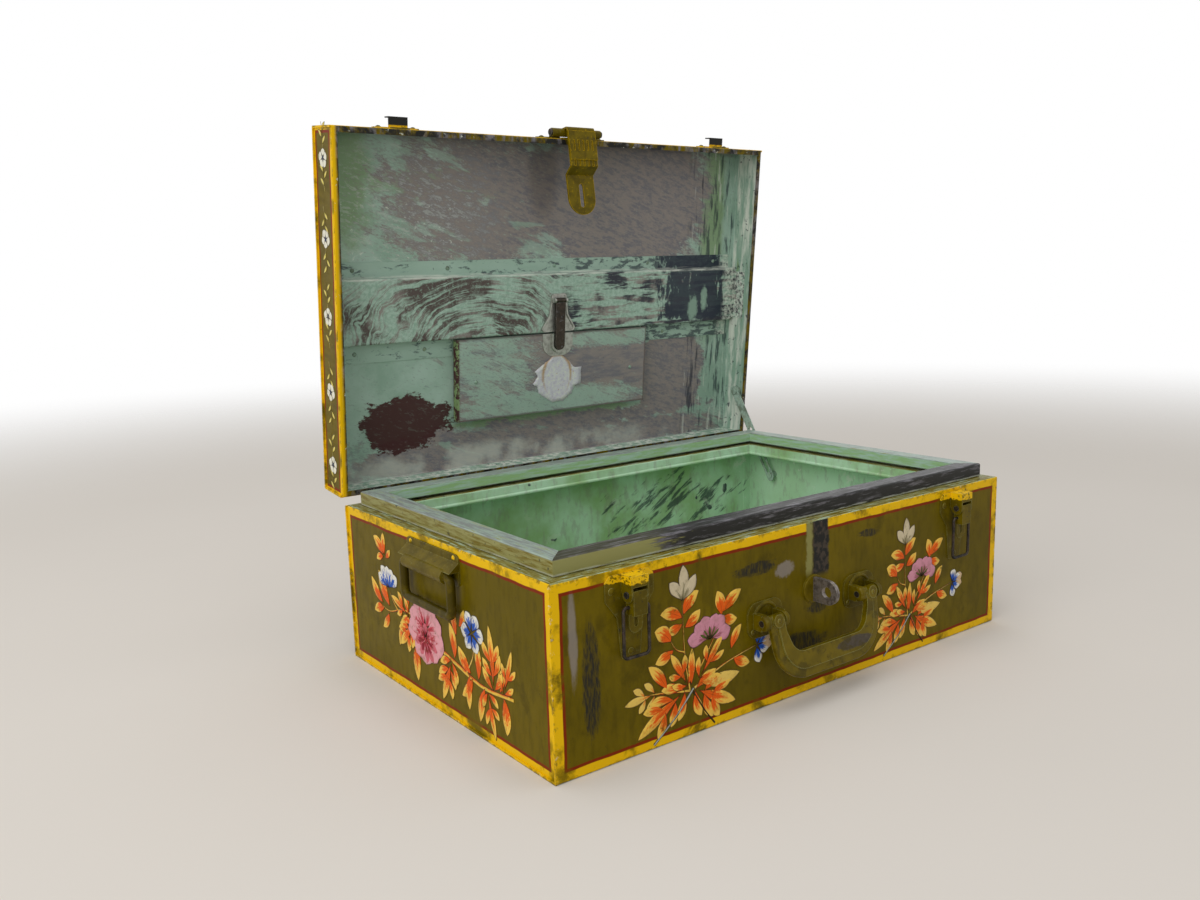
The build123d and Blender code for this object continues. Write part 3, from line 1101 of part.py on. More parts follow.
def clasp_tongue():
    """The bar that turns on the clasp's pin and lies over the catch on the door."""
    half = TONGUE_WIDTH / 2
    thick = TONGUE_THICKNESS / 2
    end = CLASP_PIVOT_FROM_MIDDLE + TONGUE_LENGTH
    z = (CLASP_AXIS_Z - thick, CLASP_AXIS_Z + thick)
    bar = block((-half, half), (CLASP_PIVOT_FROM_MIDDLE, end - half), z)
    bar += Pos(0, end - half, CLASP_AXIS_Z) * Cylinder(half, TONGUE_THICKNESS)
    bar += rod_x((-half, half), CLASP_PIVOT_FROM_MIDDLE, CLASP_AXIS_Z, CLASP_BARREL_RADIUS)
    bore = CLASP_PIN_RADIUS + PIVOT_CLEARANCE
    return bar - rod_x((-2 * half, 2 * half), CLASP_PIVOT_FROM_MIDDLE, CLASP_AXIS_Z, bore)


def door_catch():
    """The rounded plate on the door with a U-shaped ridge around the end of the tongue."""
    half = DOOR_CATCH_WIDTH / 2
    foot = DOOR_TOP + DOOR_CATCH_HEIGHT
    plate_z = (DOOR_FACE_Z - SHEET, DOOR_FACE_Z)
    plate = block((-half, half), (DOOR_TOP, foot), plate_z)
    corners = plate.edges().filter_by(Axis.Z).sort_by(Axis.Y)[-2:]
    plate = fillet(corners, DOOR_CATCH_CORNER)
    inner = TONGUE_WIDTH / 2 + 2 * SIDE_CLEARANCE
    outer = inner + DOOR_CATCH_RIDGE
    bend_y = CLASP_PIVOT_FROM_MIDDLE + TONGUE_LENGTH - TONGUE_WIDTH / 2
    ridge_z = (DOOR_FACE_Z - SHEET - DOOR_CATCH_RIDGE, DOOR_FACE_Z - SHEET)
    mid_z = (ridge_z[0] + ridge_z[1]) / 2
    ridge = block((-outer, outer), (DOOR_TOP, bend_y), ridge_z)
    ridge += Pos(0, bend_y, mid_z) * Cylinder(outer, DOOR_CATCH_RIDGE)
    ridge -= block((-inner, inner), (DOOR_TOP - 1, bend_y), (ridge_z[0] - 1, ridge_z[1] + 1))
    ridge -= Pos(0, bend_y, mid_z) * Cylinder(inner, 2 * DOOR_CATCH_RIDGE)
    return plate + ridge


# ---------------------------------------------------------------- rivets
def panel_heads(places, z):
    """Small rivet heads on a face of the lid's inside, which looks down when the lid is shut."""
    return [Pos(x, y, z) * Rot(180, 0, 0) * dome(SMALL_RIVET_RADIUS, SMALL_RIVET_RISE) for x, y in places]


def back_heads(x, y, heights):
    """Rivet heads on a hinge leaf, which looks to +Y, in two columns."""
    heads = []
    for dx in (-HINGE_WIDTH / 4, HINGE_WIDTH / 4):
        heads += [Pos(x + dx, y, z) * Rot(-90, 0, 0) * dome(RIVET_RADIUS, RIVET_RISE) for z in heights]
    return heads


def box_rivets():
    """All the rivet heads that show on the box."""
    heads = []
    for x in (-LATCH_SPACING / 2, LATCH_SPACING / 2):
        places = [(x - LATCH_RIVET_X, LATCH_LOBE_Z), (x + LATCH_RIVET_X, LATCH_LOBE_Z)]
        places.append((x, LATCH_TOP - LATCH_PLATE_HEIGHT + LATCH_FOOT_RIVET))
        heads += heads_front(places, -HALF_DEPTH - LATCH_SHEET)
    for side in (-1, 1):
        x = side * HANDLE_EAR_SPACING / 2
        low = HANDLE_PIVOT_HEIGHT - HANDLE_EAR_HEIGHT / 2 + HANDLE_EAR_RIVET_FROM_EDGE
        reach = HANDLE_EAR_WIDTH / 2 - HANDLE_EAR_RIVET_FROM_EDGE
        places = [(x - reach, low), (x + reach, low)]
        heads += heads_front(places, -HALF_DEPTH - HANDLE_EAR_SHEET, SMALL_RIVET_RADIUS, SMALL_RIVET_RISE)
    rivet_z = END_HANDLE_HEIGHT + END_PLATE_ABOVE_AXIS - END_FLANGE_HEIGHT / 2
    rivet_y = END_PLATE_WIDTH / 2 - END_RIVET_FROM_EDGE
    for y in (-rivet_y, rivet_y):
        head = dome(SMALL_RIVET_RADIUS, SMALL_RIVET_RISE)
        head = Pos(END_FACE + END_PLATE_SHEET, y, rivet_z) * Rot(0, 90, 0) * head
        heads += list(both_ends(head).values())
    low = HINGE_Z - HINGE_BARREL_RADIUS - HINGE_BASE_DROP
    for x in (-HINGE_SPACING / 2, HINGE_SPACING / 2):
        heads += back_heads(x, HALF_DEPTH + HINGE_LEAF, [low + up for up in HINGE_RIVETS_FROM_FOOT])
    return heads


def lid_rivets():
    """The rivet heads of the hinges, catches and hasp bracket on the outside of the lid."""
    heads = []
    leaf_rivet_z = LID_RIM + HINGE_LID_REACH - HINGE_RIVET_FROM_TOP
    for x in (-HINGE_SPACING / 2, HINGE_SPACING / 2):
        heads += back_heads(x, LID_HALF_DEPTH + HINGE_LEAF, [leaf_rivet_z])
    catch_z = LID_RIM + SHEET + CATCH_PLATE_HEIGHT / 2
    for x in (-LATCH_SPACING / 2, LATCH_SPACING / 2):
        reach = CATCH_PLATE_WIDTH / 2 - CATCH_RIVET_FROM_EDGE
        heads += heads_front([(x - reach, catch_z), (x + reach, catch_z)], -LID_HALF_DEPTH - CATCH_SHEET)
    reach = HASP_BRACKET_WIDTH / 2 - CATCH_RIVET_FROM_EDGE
    bracket_z = LID_RIM + SHEET + HASP_BRACKET_HEIGHT / 2
    heads += heads_front([(-reach, bracket_z), (reach, bracket_z)], -LID_HALF_DEPTH - HASP_BRACKET_SHEET)
    return heads


def band_rivets():
    """The rows of small rivets along the band's two flanges."""
    upper_y = (BAND_TOP_EDGE + BAND_FACE_TOP) / 2
    lower_y = (BAND_FACE_BOTTOM + BAND_BOTTOM_EDGE) / 2
    spots = [(x, upper_y) for x in BAND_RIVETS_ABOVE] + [(x, lower_y) for x in BAND_RIVETS_BELOW]
    places = sorted({(sign * x, y) for x, y in spots for sign in (-1, 1)})
    return panel_heads(places, LID_PANEL - SHEET)


def door_rivets():
    """The small rivets on the face of the pocket door."""
    places = [(side * DOOR_RIVET_SPACING / 2, DOOR_TOP + DOOR_RIVET_DROP) for side in (-1, 1)]
    return panel_heads(places, DOOR_FACE_Z)


# ---------------------------------------------------------------- all the pieces, where they stand
def box_nodes():
    ends = both_ends(body_end())
    nodes = {"body_wrap": body_wrap(), "body_end_left": ends["left"]}
    nodes["body_end_right"] = ends["right"] - ledge_slot()
    nodes.update(collars())
    nodes["stay_keeper"] = stay_keeper()
    nodes["staple_disc"] = staple_disc()
    nodes["staple_loop"] = staple_loop()
    nodes["front_handle_pins"] = Compound([handle_pin(-1), handle_pin(1)])
    nodes["box_rivets"] = Compound(box_rivets())
    brackets = both_ends(end_bracket())
    for side, sign in (("left", -1), ("right", 1)):
        nodes["hinge_base_leaf_" + side] = hinge_base_leaf(sign * HINGE_SPACING / 2)
        nodes["hinge_pin_" + side] = hinge_pin(sign * HINGE_SPACING / 2)
        nodes["latch_plate_" + side] = latch_plate(sign * LATCH_SPACING / 2)
        nodes["latch_housing_" + side] = latch_housing(sign * LATCH_SPACING / 2)
        nodes["latch_pin_" + side] = latch_pin(sign * LATCH_SPACING / 2)
        nodes["front_handle_ear_" + side] = handle_ear(sign)
        nodes["end_handle_bracket_" + side] = brackets[side]
    return nodes


def lid_nodes():
    """The pieces that are fixed to the lid, drawn shut."""
    ends = both_ends(lid_end())
    nodes = {"lid_wrap": lid_wrap(), "lid_end_left": ends["left"], "lid_end_right": ends["right"]}
    nodes["stay_stud"] = stay_stud()
    nodes["hasp_bracket"] = hasp_bracket()
    nodes["pocket_band"] = pocket_band()
    nodes["band_rivets"] = Compound(band_rivets())
    nodes["pocket_hinge_leaves"] = Compound(pocket_hinge_leaves())
    nodes["pocket_hinge_pins"] = Compound(pocket_hinge_pins())
    nodes["clasp_plate"] = clasp_plate()
    nodes["clasp_pin"] = clasp_pin()
    nodes["lid_rivets"] = Compound(lid_rivets())
    for side, sign in (("left", -1), ("right", 1)):
        nodes["hinge_lid_leaf_" + side] = hinge_lid_leaf(sign * HINGE_SPACING / 2)
        nodes["lid_catch_" + side] = lid_catch(sign * LATCH_SPACING / 2)
    return nodes


def moving_nodes():
    rods = both_ends(end_rod())
    nodes = {
        "stay_arm": stay_arm(),
        "hasp_pin": opened(hasp_pin()),
        "hasp_strap": hasp_rest(hasp_strap()),
        "hasp_cover": hasp_rest(hasp_cover()),
        "pocket_door": opened(pocket_door()),
        "door_catch": opened(door_catch()),
        "door_rivets": opened(Compound(door_rivets())),
        "clasp_tongue": opened(clasp_tongue()),
        "front_handle": front_handle(),
        "front_handle_rivets": Compound(front_handle_rivets()),
    }
    for side, sign in (("left", -1), ("right", 1)):
        nodes["latch_lever_" + side] = latch_lever(sign * LATCH_SPACING / 2)
        nodes["latch_bail_" + side] = latch_bail(sign * LATCH_SPACING / 2)
        nodes["end_handle_" + side] = rods[side]
    return nodes


os.makedirs("parts", exist_ok=True)
nodes = box_nodes()
nodes.update({name: opened(shape) for name, shape in lid_nodes().items()})
nodes.update(moving_nodes())
for name, shape in nodes.items():
    export_step(shape, os.path.join("parts", name + ".step"))
print("pieces written:", len(nodes))
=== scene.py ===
import json
import math
import random

import bmesh
import bpy
from bpy.props import FloatProperty, FloatVectorProperty, IntProperty, PointerProperty
from mathutils import Matrix, Vector


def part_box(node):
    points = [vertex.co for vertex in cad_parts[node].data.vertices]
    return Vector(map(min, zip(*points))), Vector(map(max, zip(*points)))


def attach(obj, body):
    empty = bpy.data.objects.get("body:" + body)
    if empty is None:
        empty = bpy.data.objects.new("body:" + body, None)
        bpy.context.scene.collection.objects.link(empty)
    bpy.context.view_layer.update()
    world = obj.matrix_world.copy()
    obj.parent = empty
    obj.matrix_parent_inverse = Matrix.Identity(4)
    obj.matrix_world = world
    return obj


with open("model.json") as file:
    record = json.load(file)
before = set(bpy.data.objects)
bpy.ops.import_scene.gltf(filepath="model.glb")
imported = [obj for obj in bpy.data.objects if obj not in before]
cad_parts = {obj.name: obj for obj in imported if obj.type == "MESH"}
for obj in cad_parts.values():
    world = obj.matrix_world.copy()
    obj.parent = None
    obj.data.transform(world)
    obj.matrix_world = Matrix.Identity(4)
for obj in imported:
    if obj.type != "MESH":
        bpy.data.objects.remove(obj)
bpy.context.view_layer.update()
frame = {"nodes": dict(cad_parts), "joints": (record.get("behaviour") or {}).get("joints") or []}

bl_info = {
    "name": "Painted Tin Trunk",
    "version": (1, 0, 0),
    "blender": (4, 5, 0),
    "location": "View3D > Sidebar > Trunk",
    "description": "Paints a small tin trunk: worn enamel, borders, flower sprays, bare steel and paper",
    "category": "Object",
}

# Lengths on the trunk are given in millimetres and become metres when multiplied by MM.
MM = 0.001
SHEET = 0.8
RIM_THICKNESS = 1.1
INNER_WALL_END = 3.0

# ---------------------------------------------------------------- places read from the frame
BOX_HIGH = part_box("body_wrap")[1]
END_PANEL_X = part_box("body_end_right")[1].x
HALF_WIDTH, HALF_DEPTH, BOX_TOP = BOX_HIGH.x / MM, BOX_HIGH.y / MM, BOX_HIGH.z / MM
LID_HINGE = next(joint for joint in frame["joints"] if joint["name"] == "lid_hinge")
OPEN_ANGLE = math.radians(LID_HINGE["range_deg"][1] - LID_HINGE["range_deg"][0])
TO_HINGE = Matrix.Translation(Vector(LID_HINGE["pos_m"]))
OPENING = TO_HINGE @ Matrix.Rotation(-OPEN_ANGLE, 4, "X") @ TO_HINGE.inverted()
SHUTTING = OPENING.inverted()


def shut_box(node):
    """The lowest and highest corner, in millimetres, of a lid node as it lies on the shut trunk."""
    points = [SHUTTING @ v.co / MM for v in frame["nodes"][node].data.vertices]
    return [Vector([pick(p[axis] for p in points) for axis in range(3)]) for pick in (min, max)]


LID_LOW, LID_HIGH = shut_box("lid_wrap")
LID_END_X = shut_box("lid_end_right")[1].x
LID_MIDDLE = (LID_LOW.z + LID_HIGH.z) / 2
DOOR_LOW, DOOR_HIGH = shut_box("pocket_door")


# ---------------------------------------------------------------- colours and sizes
def screen(red, green, blue):
    """A paint colour given as it looks on a screen, 0 to 255, turned into linear light."""
    linear = []
    for value in (red / 255, green / 255, blue / 255):
        linear.append(value / 12.92 if value <= 0.04045 else ((value + 0.055) / 1.055) ** 2.4)
    return (*linear, 1.0)


def paint(label, words, red, green, blue):
    """A colour property of the trunk's paints."""
    return FloatVectorProperty(
        name=label, description=words, subtype="COLOR", size=4, min=0.0, max=1.0,
        default=screen(red, green, blue),
    )


def length(label, words, default, least):
    """A length property, given in millimetres."""
    return FloatProperty(
        name=label, description=words, default=default * MM, min=least * MM, unit="LENGTH"
    )


class TrunkPaints(bpy.types.PropertyGroup):
    """The colours of the trunk's enamels, metals and paper."""

    olive: paint("Olive", "Ground of the outside", 96, 82, 0)
    olive_light: paint("Rubbed olive", "Thinner olive where the brush left less", 108, 92, 2)
    olive_dark: paint("Grimy olive", "Olive under grime", 66, 56, 0)
    yellow: paint("Border yellow", "Broad border line", 232, 186, 8)
    red: paint("Border red", "Thin border line", 128, 28, 4)
    # Soot black is also laid as painted shade inside the lid, near its front wall.
    soot: paint("Soot black", "Scuffs down to blackened metal", 38, 38, 36)
    mint: paint("Inside green", "Enamel inside the lid", 146, 176, 158)
    mint_light: paint("Chalky green", "Rubbed green inside the lid", 174, 200, 186)
    # Fresh green is also laid as painted shadow just below the pocket door.
    leaf_green: paint("Fresh green", "Green that was never rubbed", 132, 158, 108)
    box_green: paint("Box green", "Enamel inside the box", 152, 188, 134)
    # Pale box green, also laid as painted light on the inside of the box's right end.
    box_pale_and_lit: paint("Light box green", "Enamel at the bright end of the box", 190, 224, 194)
    taupe: paint("Taupe metal", "Bare grey-brown sheet", 146, 138, 133)
    brown: paint("Brown metal", "Dark brown sheet under the band's strokes", 88, 78, 74)
    ink: paint("Blue black", "Blue-black stain on the band", 44, 52, 64)
    chalk: paint("Worn white", "Whitish rubbed primer", 220, 226, 214)
    cream: paint("Collar cream", "Olive-cream on the collar", 146, 144, 88)
    zinc: paint("Violet zinc", "Bare metal of the collar", 120, 118, 124)
    maroon: paint("Maroon primer", "Patch of old primer", 74, 44, 44)
    steel: paint("Dark steel", "Tarnished wire and pins", 70, 62, 54)
    bright_steel: paint("Bright steel", "Rubbed steel of the clasp", 176, 178, 170)
    paper: paint("Old paper", "Remnant of blank paper", 204, 204, 214)
    ochre: paint("Dried glue", "Glue stain at the paper's edge", 176, 138, 78)
    outline: paint("Outline brown", "Thin outline of every brush stroke", 44, 26, 8)


class TrunkSizes(bpy.types.PropertyGroup):
    """The sizes of the painted ornament, in metres."""

    band: length("Border width", "Width of the yellow border", 6.6, 1)
    line: length("Red line width", "Width of the red line inside the border", 2.2, 0.5)
    lid_band: length("Lid border width", "Width of the yellow border on the lid's walls", 3.4, 1)
    relief: length("Stroke relief", "How far a brush stroke stands above the ground", 0.16, 0.02)
    outline: length("Outline width", "Width of the brown outline of a stroke", 0.55, 0.1)
    sprig_pitch: length("Sprig pitch", "Distance between the flowers on the lid's end walls", 61, 20)
    sprig_count: IntProperty(
        name="Sprigs", description="Flowers on each end wall of the lid", default=5, min=1,
    )


# ---------------------------------------------------------------- shader trees
EVEN = (1.0, 1.0, 1.0)
ANY_DISTANCE = 1e4
BUMP_STRENGTH = 0.7
BORDER_WANDER = 0.9
BORDER_BLUR = 0.3
FLAT_COSINE, WORN_COSINE = 0.985, 0.9
FLAKE_LEVEL, FLAKE_SPAN = 0.72, 0.44


def sign(operation, turned=False):
    """A sign of arithmetic or logic between two values, as the node that works it out."""
    def work(value, other=0.0):
        first, second = (other, value) if turned else (value, other)
        return value.shader.math(operation, first, second)
    return work


class Value:
    """What one socket of a node tree gives out. For masks, & is both, | is either and ~ is not."""

    def __init__(self, shader, socket):
        self.shader = shader
        self.socket = socket

    __add__ = __radd__ = sign("ADD")
    __sub__, __rsub__ = sign("SUBTRACT"), sign("SUBTRACT", turned=True)
    __mul__ = __rmul__ = __and__ = sign("MULTIPLY")
    __or__ = sign("MAXIMUM")
    __gt__, __lt__ = sign("GREATER_THAN"), sign("LESS_THAN")
    __abs__ = sign("ABSOLUTE")
    least = sign("MINIMUM")

    def __invert__(self):
        return 1.0 - self

    def by(self, operation, other=(0.0, 0.0, 0.0), output=0):
        """A vector operation with another vector."""
        inputs = {0: self, 1: other}
        return self.shader.add("ShaderNodeVectorMath", inputs, output, operation=operation)

    def smooth(self, start, end):
        """Rises softly from 0 at start to 1 at end; it falls where start is the larger."""
        inputs = {"Value": self, "From Min": start, "From Max": end}
        return self.shader.add("ShaderNodeMapRange", inputs, interpolation_type="SMOOTHSTEP")

    def scale(self, low, high):
        """A value from 0 to 1 spread from low to high."""
        return self.shader.add("ShaderNodeMapRange", {"Value": self, "To Min": low, "To Max": high})

    def mix(self, first, second):
        """The first colour where this mask is 0, the second where it is 1."""
        inputs = {0: self, 6: first, 7: second}
        return self.shader.add("ShaderNodeMix", inputs, 2, data_type="RGBA")

    def lay(self, colour, mask, strength=None):
        """This colour with another laid over it where the mask is, at most as strong as given."""
        share = mask if strength is None else mask.scale(0.0, strength)
        return share.mix(self, colour)

    def noise(self, grain, detail=4.0, roughness=0.55, distortion=0.0):
        return self.shader.add("ShaderNodeTexNoise", {
            "Vector": self, "Scale": grain, "Detail": detail,
            "Roughness": roughness, "Distortion": distortion,
        })

    def stretched(self, scale, turn=(0.0, 0.0, 0.0)):
        inputs = {"Vector": self, "Scale": scale, "Rotation": turn}
        return self.shader.add("ShaderNodeMapping", inputs)

    def drawn(self, turn, scale):
        """The place turned first and then scaled, for streaks that run at a slant."""
        return self.stretched(EVEN, turn).by("MULTIPLY", scale)

    def split(self):
        """The three numbers of a place."""
        node = self.shader.add("ShaderNodeSeparateXYZ", {0: self}).socket.node
        return [Value(self.shader, socket) for socket in node.outputs]

    def patch(self, centre, reach, raggedness=0.9, grain=0.09, soft=0.08, stretch=EVEN):
        """A ragged patch about a centre; a reach of 0 along an axis means any distance along it."""
        wide = tuple(value if value else ANY_DISTANCE for value in reach)
        return self.shader.group(
            ragged_patch(), Vector=self, Centre=centre, Reach=wide, Stretch=stretch,
            Raggedness=raggedness, Grain=grain, Softness=soft,
        )

    def flakes(self, amount, grain=0.1, stretch=EVEN, soft=0.02):
        return self.shader.group(
            flaked_paint(), Vector=self, Amount=amount, Grain=grain, Stretch=stretch, Softness=soft
        )

    def worn(self, radius, raggedness, grain):
        return self.shader.group(
            edge_wear(), Vector=self, Radius=radius, Raggedness=raggedness, Grain=grain
        )


class Shader:
    """Adds nodes to one tree, and closes the material that the tree belongs to."""

    def __init__(self, tree, material=None):
        self.tree = tree
        self.material = material

    def give(self, socket, value):
        """Link a socket to a value or set its own one; a word is the name of a paint."""
        if isinstance(value, Value):
            self.tree.links.new(value.socket, socket)
        elif isinstance(value, str):
            socket.default_value = getattr(bpy.context.scene.trunk_paints, value)
        else:
            socket.default_value = value

    def add(self, kind, inputs=None, output=0, **settings):
        node = self.tree.nodes.new(kind)
        for key, value in settings.items():
            setattr(node, key, value)
        for place, value in (inputs or {}).items():
            self.give(node.inputs[place], value)
        return Value(self, node.outputs[output])

    def end(self, kind, value):
        """The output node of the tree."""
        self.give(self.tree.nodes.new(kind).inputs[0], value)

    def math(self, operation, first, second=0.0):
        return self.add("ShaderNodeMath", {0: first, 1: second}, operation=operation)

    def choose(self, share, first, second):
        """A number between the first and the second."""
        return self.add("ShaderNodeMix", {0: share, 2: first, 3: second}, data_type="FLOAT")

    def joined(self, x, y, z):
        return self.add("ShaderNodeCombineXYZ", {0: x, 1: y, 2: z})

    def attribute(self, name, output="Fac"):
        return self.add("ShaderNodeAttribute", None, output, attribute_name=name)

    def object_place(self):
        return self.add("ShaderNodeTexCoord", None, "Object")

    def place(self, on_lid=False):
        """The point's place in millimetres; on the lid it is the place on the shut trunk."""
        inputs = {"Vector": self.object_place(), "Scale": (1 / MM, 1 / MM, 1 / MM)}
        if on_lid:
            inputs["Rotation"] = (OPEN_ANGLE, 0.0, 0.0)
            inputs["Location"] = SHUTTING.translation / MM
        return self.add("ShaderNodeMapping", inputs)

    def group(self, tree, **inputs):
        """A node of a shader group, its inputs set by name; gives back its one output or all."""
        node = self.tree.nodes.new("ShaderNodeGroup")
        node.node_tree = tree
        for label, value in inputs.items():
            self.give(node.inputs[label.replace("_", " ")], value)
        outputs = [Value(self, socket) for socket in node.outputs]
        return outputs[0] if len(outputs) == 1 else outputs

    def close(self, colour, roughness, height, rise=0.08, metallic=0.0, gloss=0.2):
        """The surface itself, with bump from the height; gives back the material."""
        inputs = {"Height": height, "Distance": rise * MM, "Strength": BUMP_STRENGTH}
        bump = self.add("ShaderNodeBump", inputs)
        self.end("ShaderNodeOutputMaterial", self.add("ShaderNodeBsdfPrincipled", {
            "Base Color": colour, "Roughness": roughness, "Metallic": metallic,
            "Normal": bump, "Specular IOR Level": gloss,
        }))
        return self.material


def new_material(name):
    """The shader writer of a new, empty material."""
    material = bpy.data.materials.new(name)
    material.use_nodes = True
    material.node_tree.nodes.clear()
    return Shader(material.node_tree, material)


def shader_group(name, outputs, **inputs):
    """Makes of a function that writes a group's inside one that gives the group, built once."""
    def wrap(write):
        def group():
            tree = bpy.data.node_groups.get(name)
            if tree is not None:
                return tree
            tree = bpy.data.node_groups.new(name, "ShaderNodeTree")
            new_socket = tree.interface.new_socket
            for label, value in inputs.items():
                kind = "NodeSocketVector" if isinstance(value, tuple) else "NodeSocketFloat"
                socket = new_socket(name=label.replace("_", " "), in_out="INPUT", socket_type=kind)
                socket.default_value = value
            for label in outputs:
                new_socket(name=label, in_out="OUTPUT", socket_type="NodeSocketFloat")
            s = Shader(tree)
            given = tree.nodes.new("NodeGroupInput").outputs
            values = write(s, *[Value(s, socket) for socket in given][:len(inputs)])
            results = tree.nodes.new("NodeGroupOutput").inputs
            for label, value in zip(outputs, values):
                s.give(results[label], value)
            return tree
        return group
    return wrap


@shader_group(
    "Ragged patch", ["Mask"], Vector=(0, 0, 0), Centre=(0, 0, 0), Reach=(1, 1, 1), Stretch=(1, 1, 1),
    Raggedness=1.0, Grain=0.1, Softness=0.08,
)
def ragged_patch(s, vector, centre, reach, stretch, raggedness, grain, softness):
    """A ragged patch: an ellipse about a centre whose edge is torn by noise."""
    far = vector.by("SUBTRACT", centre).by("DIVIDE", reach).by("LENGTH", output="Value")
    torn = (vector.by("MULTIPLY", stretch).noise(grain, 7.0, 0.68) - 0.5) * raggedness
    return [(far + torn).smooth(1.0 + softness, 1.0 - softness)]


@shader_group(
    "Painted border", ["Band", "Line"], Vector=(0, 0, 0), Across=0.0, Up=0.0,
    Half_Width=1.0, Half_Height=1.0, Band=6.0, Line=3.0,
)
def painted_border(s, vector, across, up, half_width, half_height, band, line):
    """A broad painted band along the edges of a panel and a thin line inside it."""
    inward = (half_width - abs(across)).least(half_height - abs(up))
    inward = inward + vector.noise(0.045, 3.0).scale(-BORDER_WANDER, BORDER_WANDER)
    broad = inward.smooth(band + BORDER_BLUR, band - BORDER_BLUR)
    both = band + line
    return broad, inward.smooth(both + BORDER_BLUR, both - BORDER_BLUR) & ~broad


@shader_group("Edge wear", ["Mask"], Vector=(0, 0, 0), Radius=0.0006, Raggedness=0.2, Grain=0.3)
def edge_wear(s, vector, radius, raggedness, grain):
    """Where a hard edge has been rubbed: the rounded normal turns away from the flat one there."""
    rounded = s.add("ShaderNodeBevel", {"Radius": radius}, samples=6)
    turned = rounded.by("DOT_PRODUCT", s.add("ShaderNodeNewGeometry", None, "Normal"), "Value")
    torn = vector.noise(grain, 3.0, 0.6).scale(-0.5, 0.5) * raggedness
    return [(turned + torn).smooth(FLAT_COSINE, WORN_COSINE)]


@shader_group(
    "Flaked paint", ["Mask"], Vector=(0, 0, 0), Stretch=(1, 1, 1), Amount=0.5, Grain=0.1, Softness=0.02
)
def flaked_paint(s, vector, stretch, amount, grain, softness):
    """Flaked paint: small torn islands that grow with the amount, from none at 0 to all at 1."""
    coarse = vector.by("MULTIPLY", stretch).noise(grain, 8.0, 0.68, 0.4)
    level = FLAKE_LEVEL - amount * FLAKE_SPAN
    return [coarse.smooth(level - softness, level + softness)]


@shader_group(
    "Brushed enamel", ["Streaks", "Drift"], Vector=(0, 0, 0), Stretch=(1, 1, 1), Grain=0.2
)
def brushed_enamel(s, vector, stretch, grain):
    """The streaks that a flat brush leaves in enamel, and a slow drift of its tone."""
    return vector.by("MULTIPLY", stretch).noise(grain, 5.0, 0.6), vector.noise(0.016, 4.0, 0.55)


# ---------------------------------------------------------------- the painted sheet
# Places and sizes in the materials are in millimetres on the shut trunk: x to the right, y to the
# back, z up. The strengths, from 0 to 1, and the noise settings are matched one by one.
def olive_ground(s, point):
    """Olive enamel laid on with a broad brush, with thin places and grime."""
    streaks, drift = s.group(brushed_enamel(), Vector=point, Stretch=(1.0, 1.0, 0.3), Grain=0.2)
    colour = drift.smooth(0.36, 0.64).mix("olive", "olive_light")
    colour = colour.lay("olive_dark", streaks.smooth(0.4, 0.72), 0.42)
    colour = colour.lay("olive_dark", point.noise(0.03, 6.0, 0.66).smooth(0.54, 0.68), 0.5)
    return colour.lay("soot", point.noise(0.6, 2.0, 0.5).smooth(0.71, 0.75), 0.55), streaks


def bordered(s, colour, point, across, up, half_width, half_height, band):
    """The yellow band and the red line laid over a ground, both thinned where they are worn."""
    broad, thin = s.group(
        painted_border(), Vector=point, Across=across, Up=up, Half_Width=half_width,
        Half_Height=half_height, Band=band / MM, Line=bpy.context.scene.trunk_sizes.line / MM,
    )
    worn = point.flakes(0.3, 0.022, soft=0.06) | point.flakes(0.1, 0.2, soft=0.04)
    dirty = point.noise(0.05, 4.0, 0.62).smooth(0.5, 0.68).scale(0.0, 0.75)
    colour = colour.lay("red", (thin & ~(worn * 0.8)) * 0.88)
    return colour.lay(dirty.mix("yellow", "olive_light"), broad & ~(worn * 0.85))


def box_inside(point, x, y):
    """Green enamel inside the box, painted light on its right end, dark brushed smears on the back wall,
    blots.
    """
    colour = point.noise(0.02, 4.0).smooth(0.35, 0.65).mix("box_green", "box_pale_and_lit")
    # Painted light: the inside of the right end is made paler, where the light falls on it.
    colour = colour.lay("box_pale_and_lit", x.smooth(205.0, 215.0), 0.7)
    brushed = point.stretched((1.0, 1.0, 0.4), (0.0, 0.6, 0.0)).noise(0.16, 5.0, 0.65)
    colour = colour.lay("taupe", brushed.smooth(0.5, 0.66), 0.35)
    smear = point.drawn((0.0, 0.55, 0.0), (0.2, 1.0, 1.0)).noise(0.16, 6.0, 0.62, 0.3)
    smear = smear + point.patch((116, 146, 76), (92, 0, 34), 1.0, 0.04, 0.5).scale(-0.2, 0.04)
    cracks = smear.smooth(0.53, 0.64) & (y > 120.0)
    blots = point.noise(0.05, 2.0, 0.4).smooth(0.735, 0.75)
    colour = colour.lay("ink", cracks.scale(0.0, 0.8) | blots.scale(0.0, 0.9))
    rubbed = point.flakes(0.2, 0.05) & x.smooth(190.0, 214.0).scale(0.3, 1.0)
    return colour.lay("chalk", rubbed, 0.7)


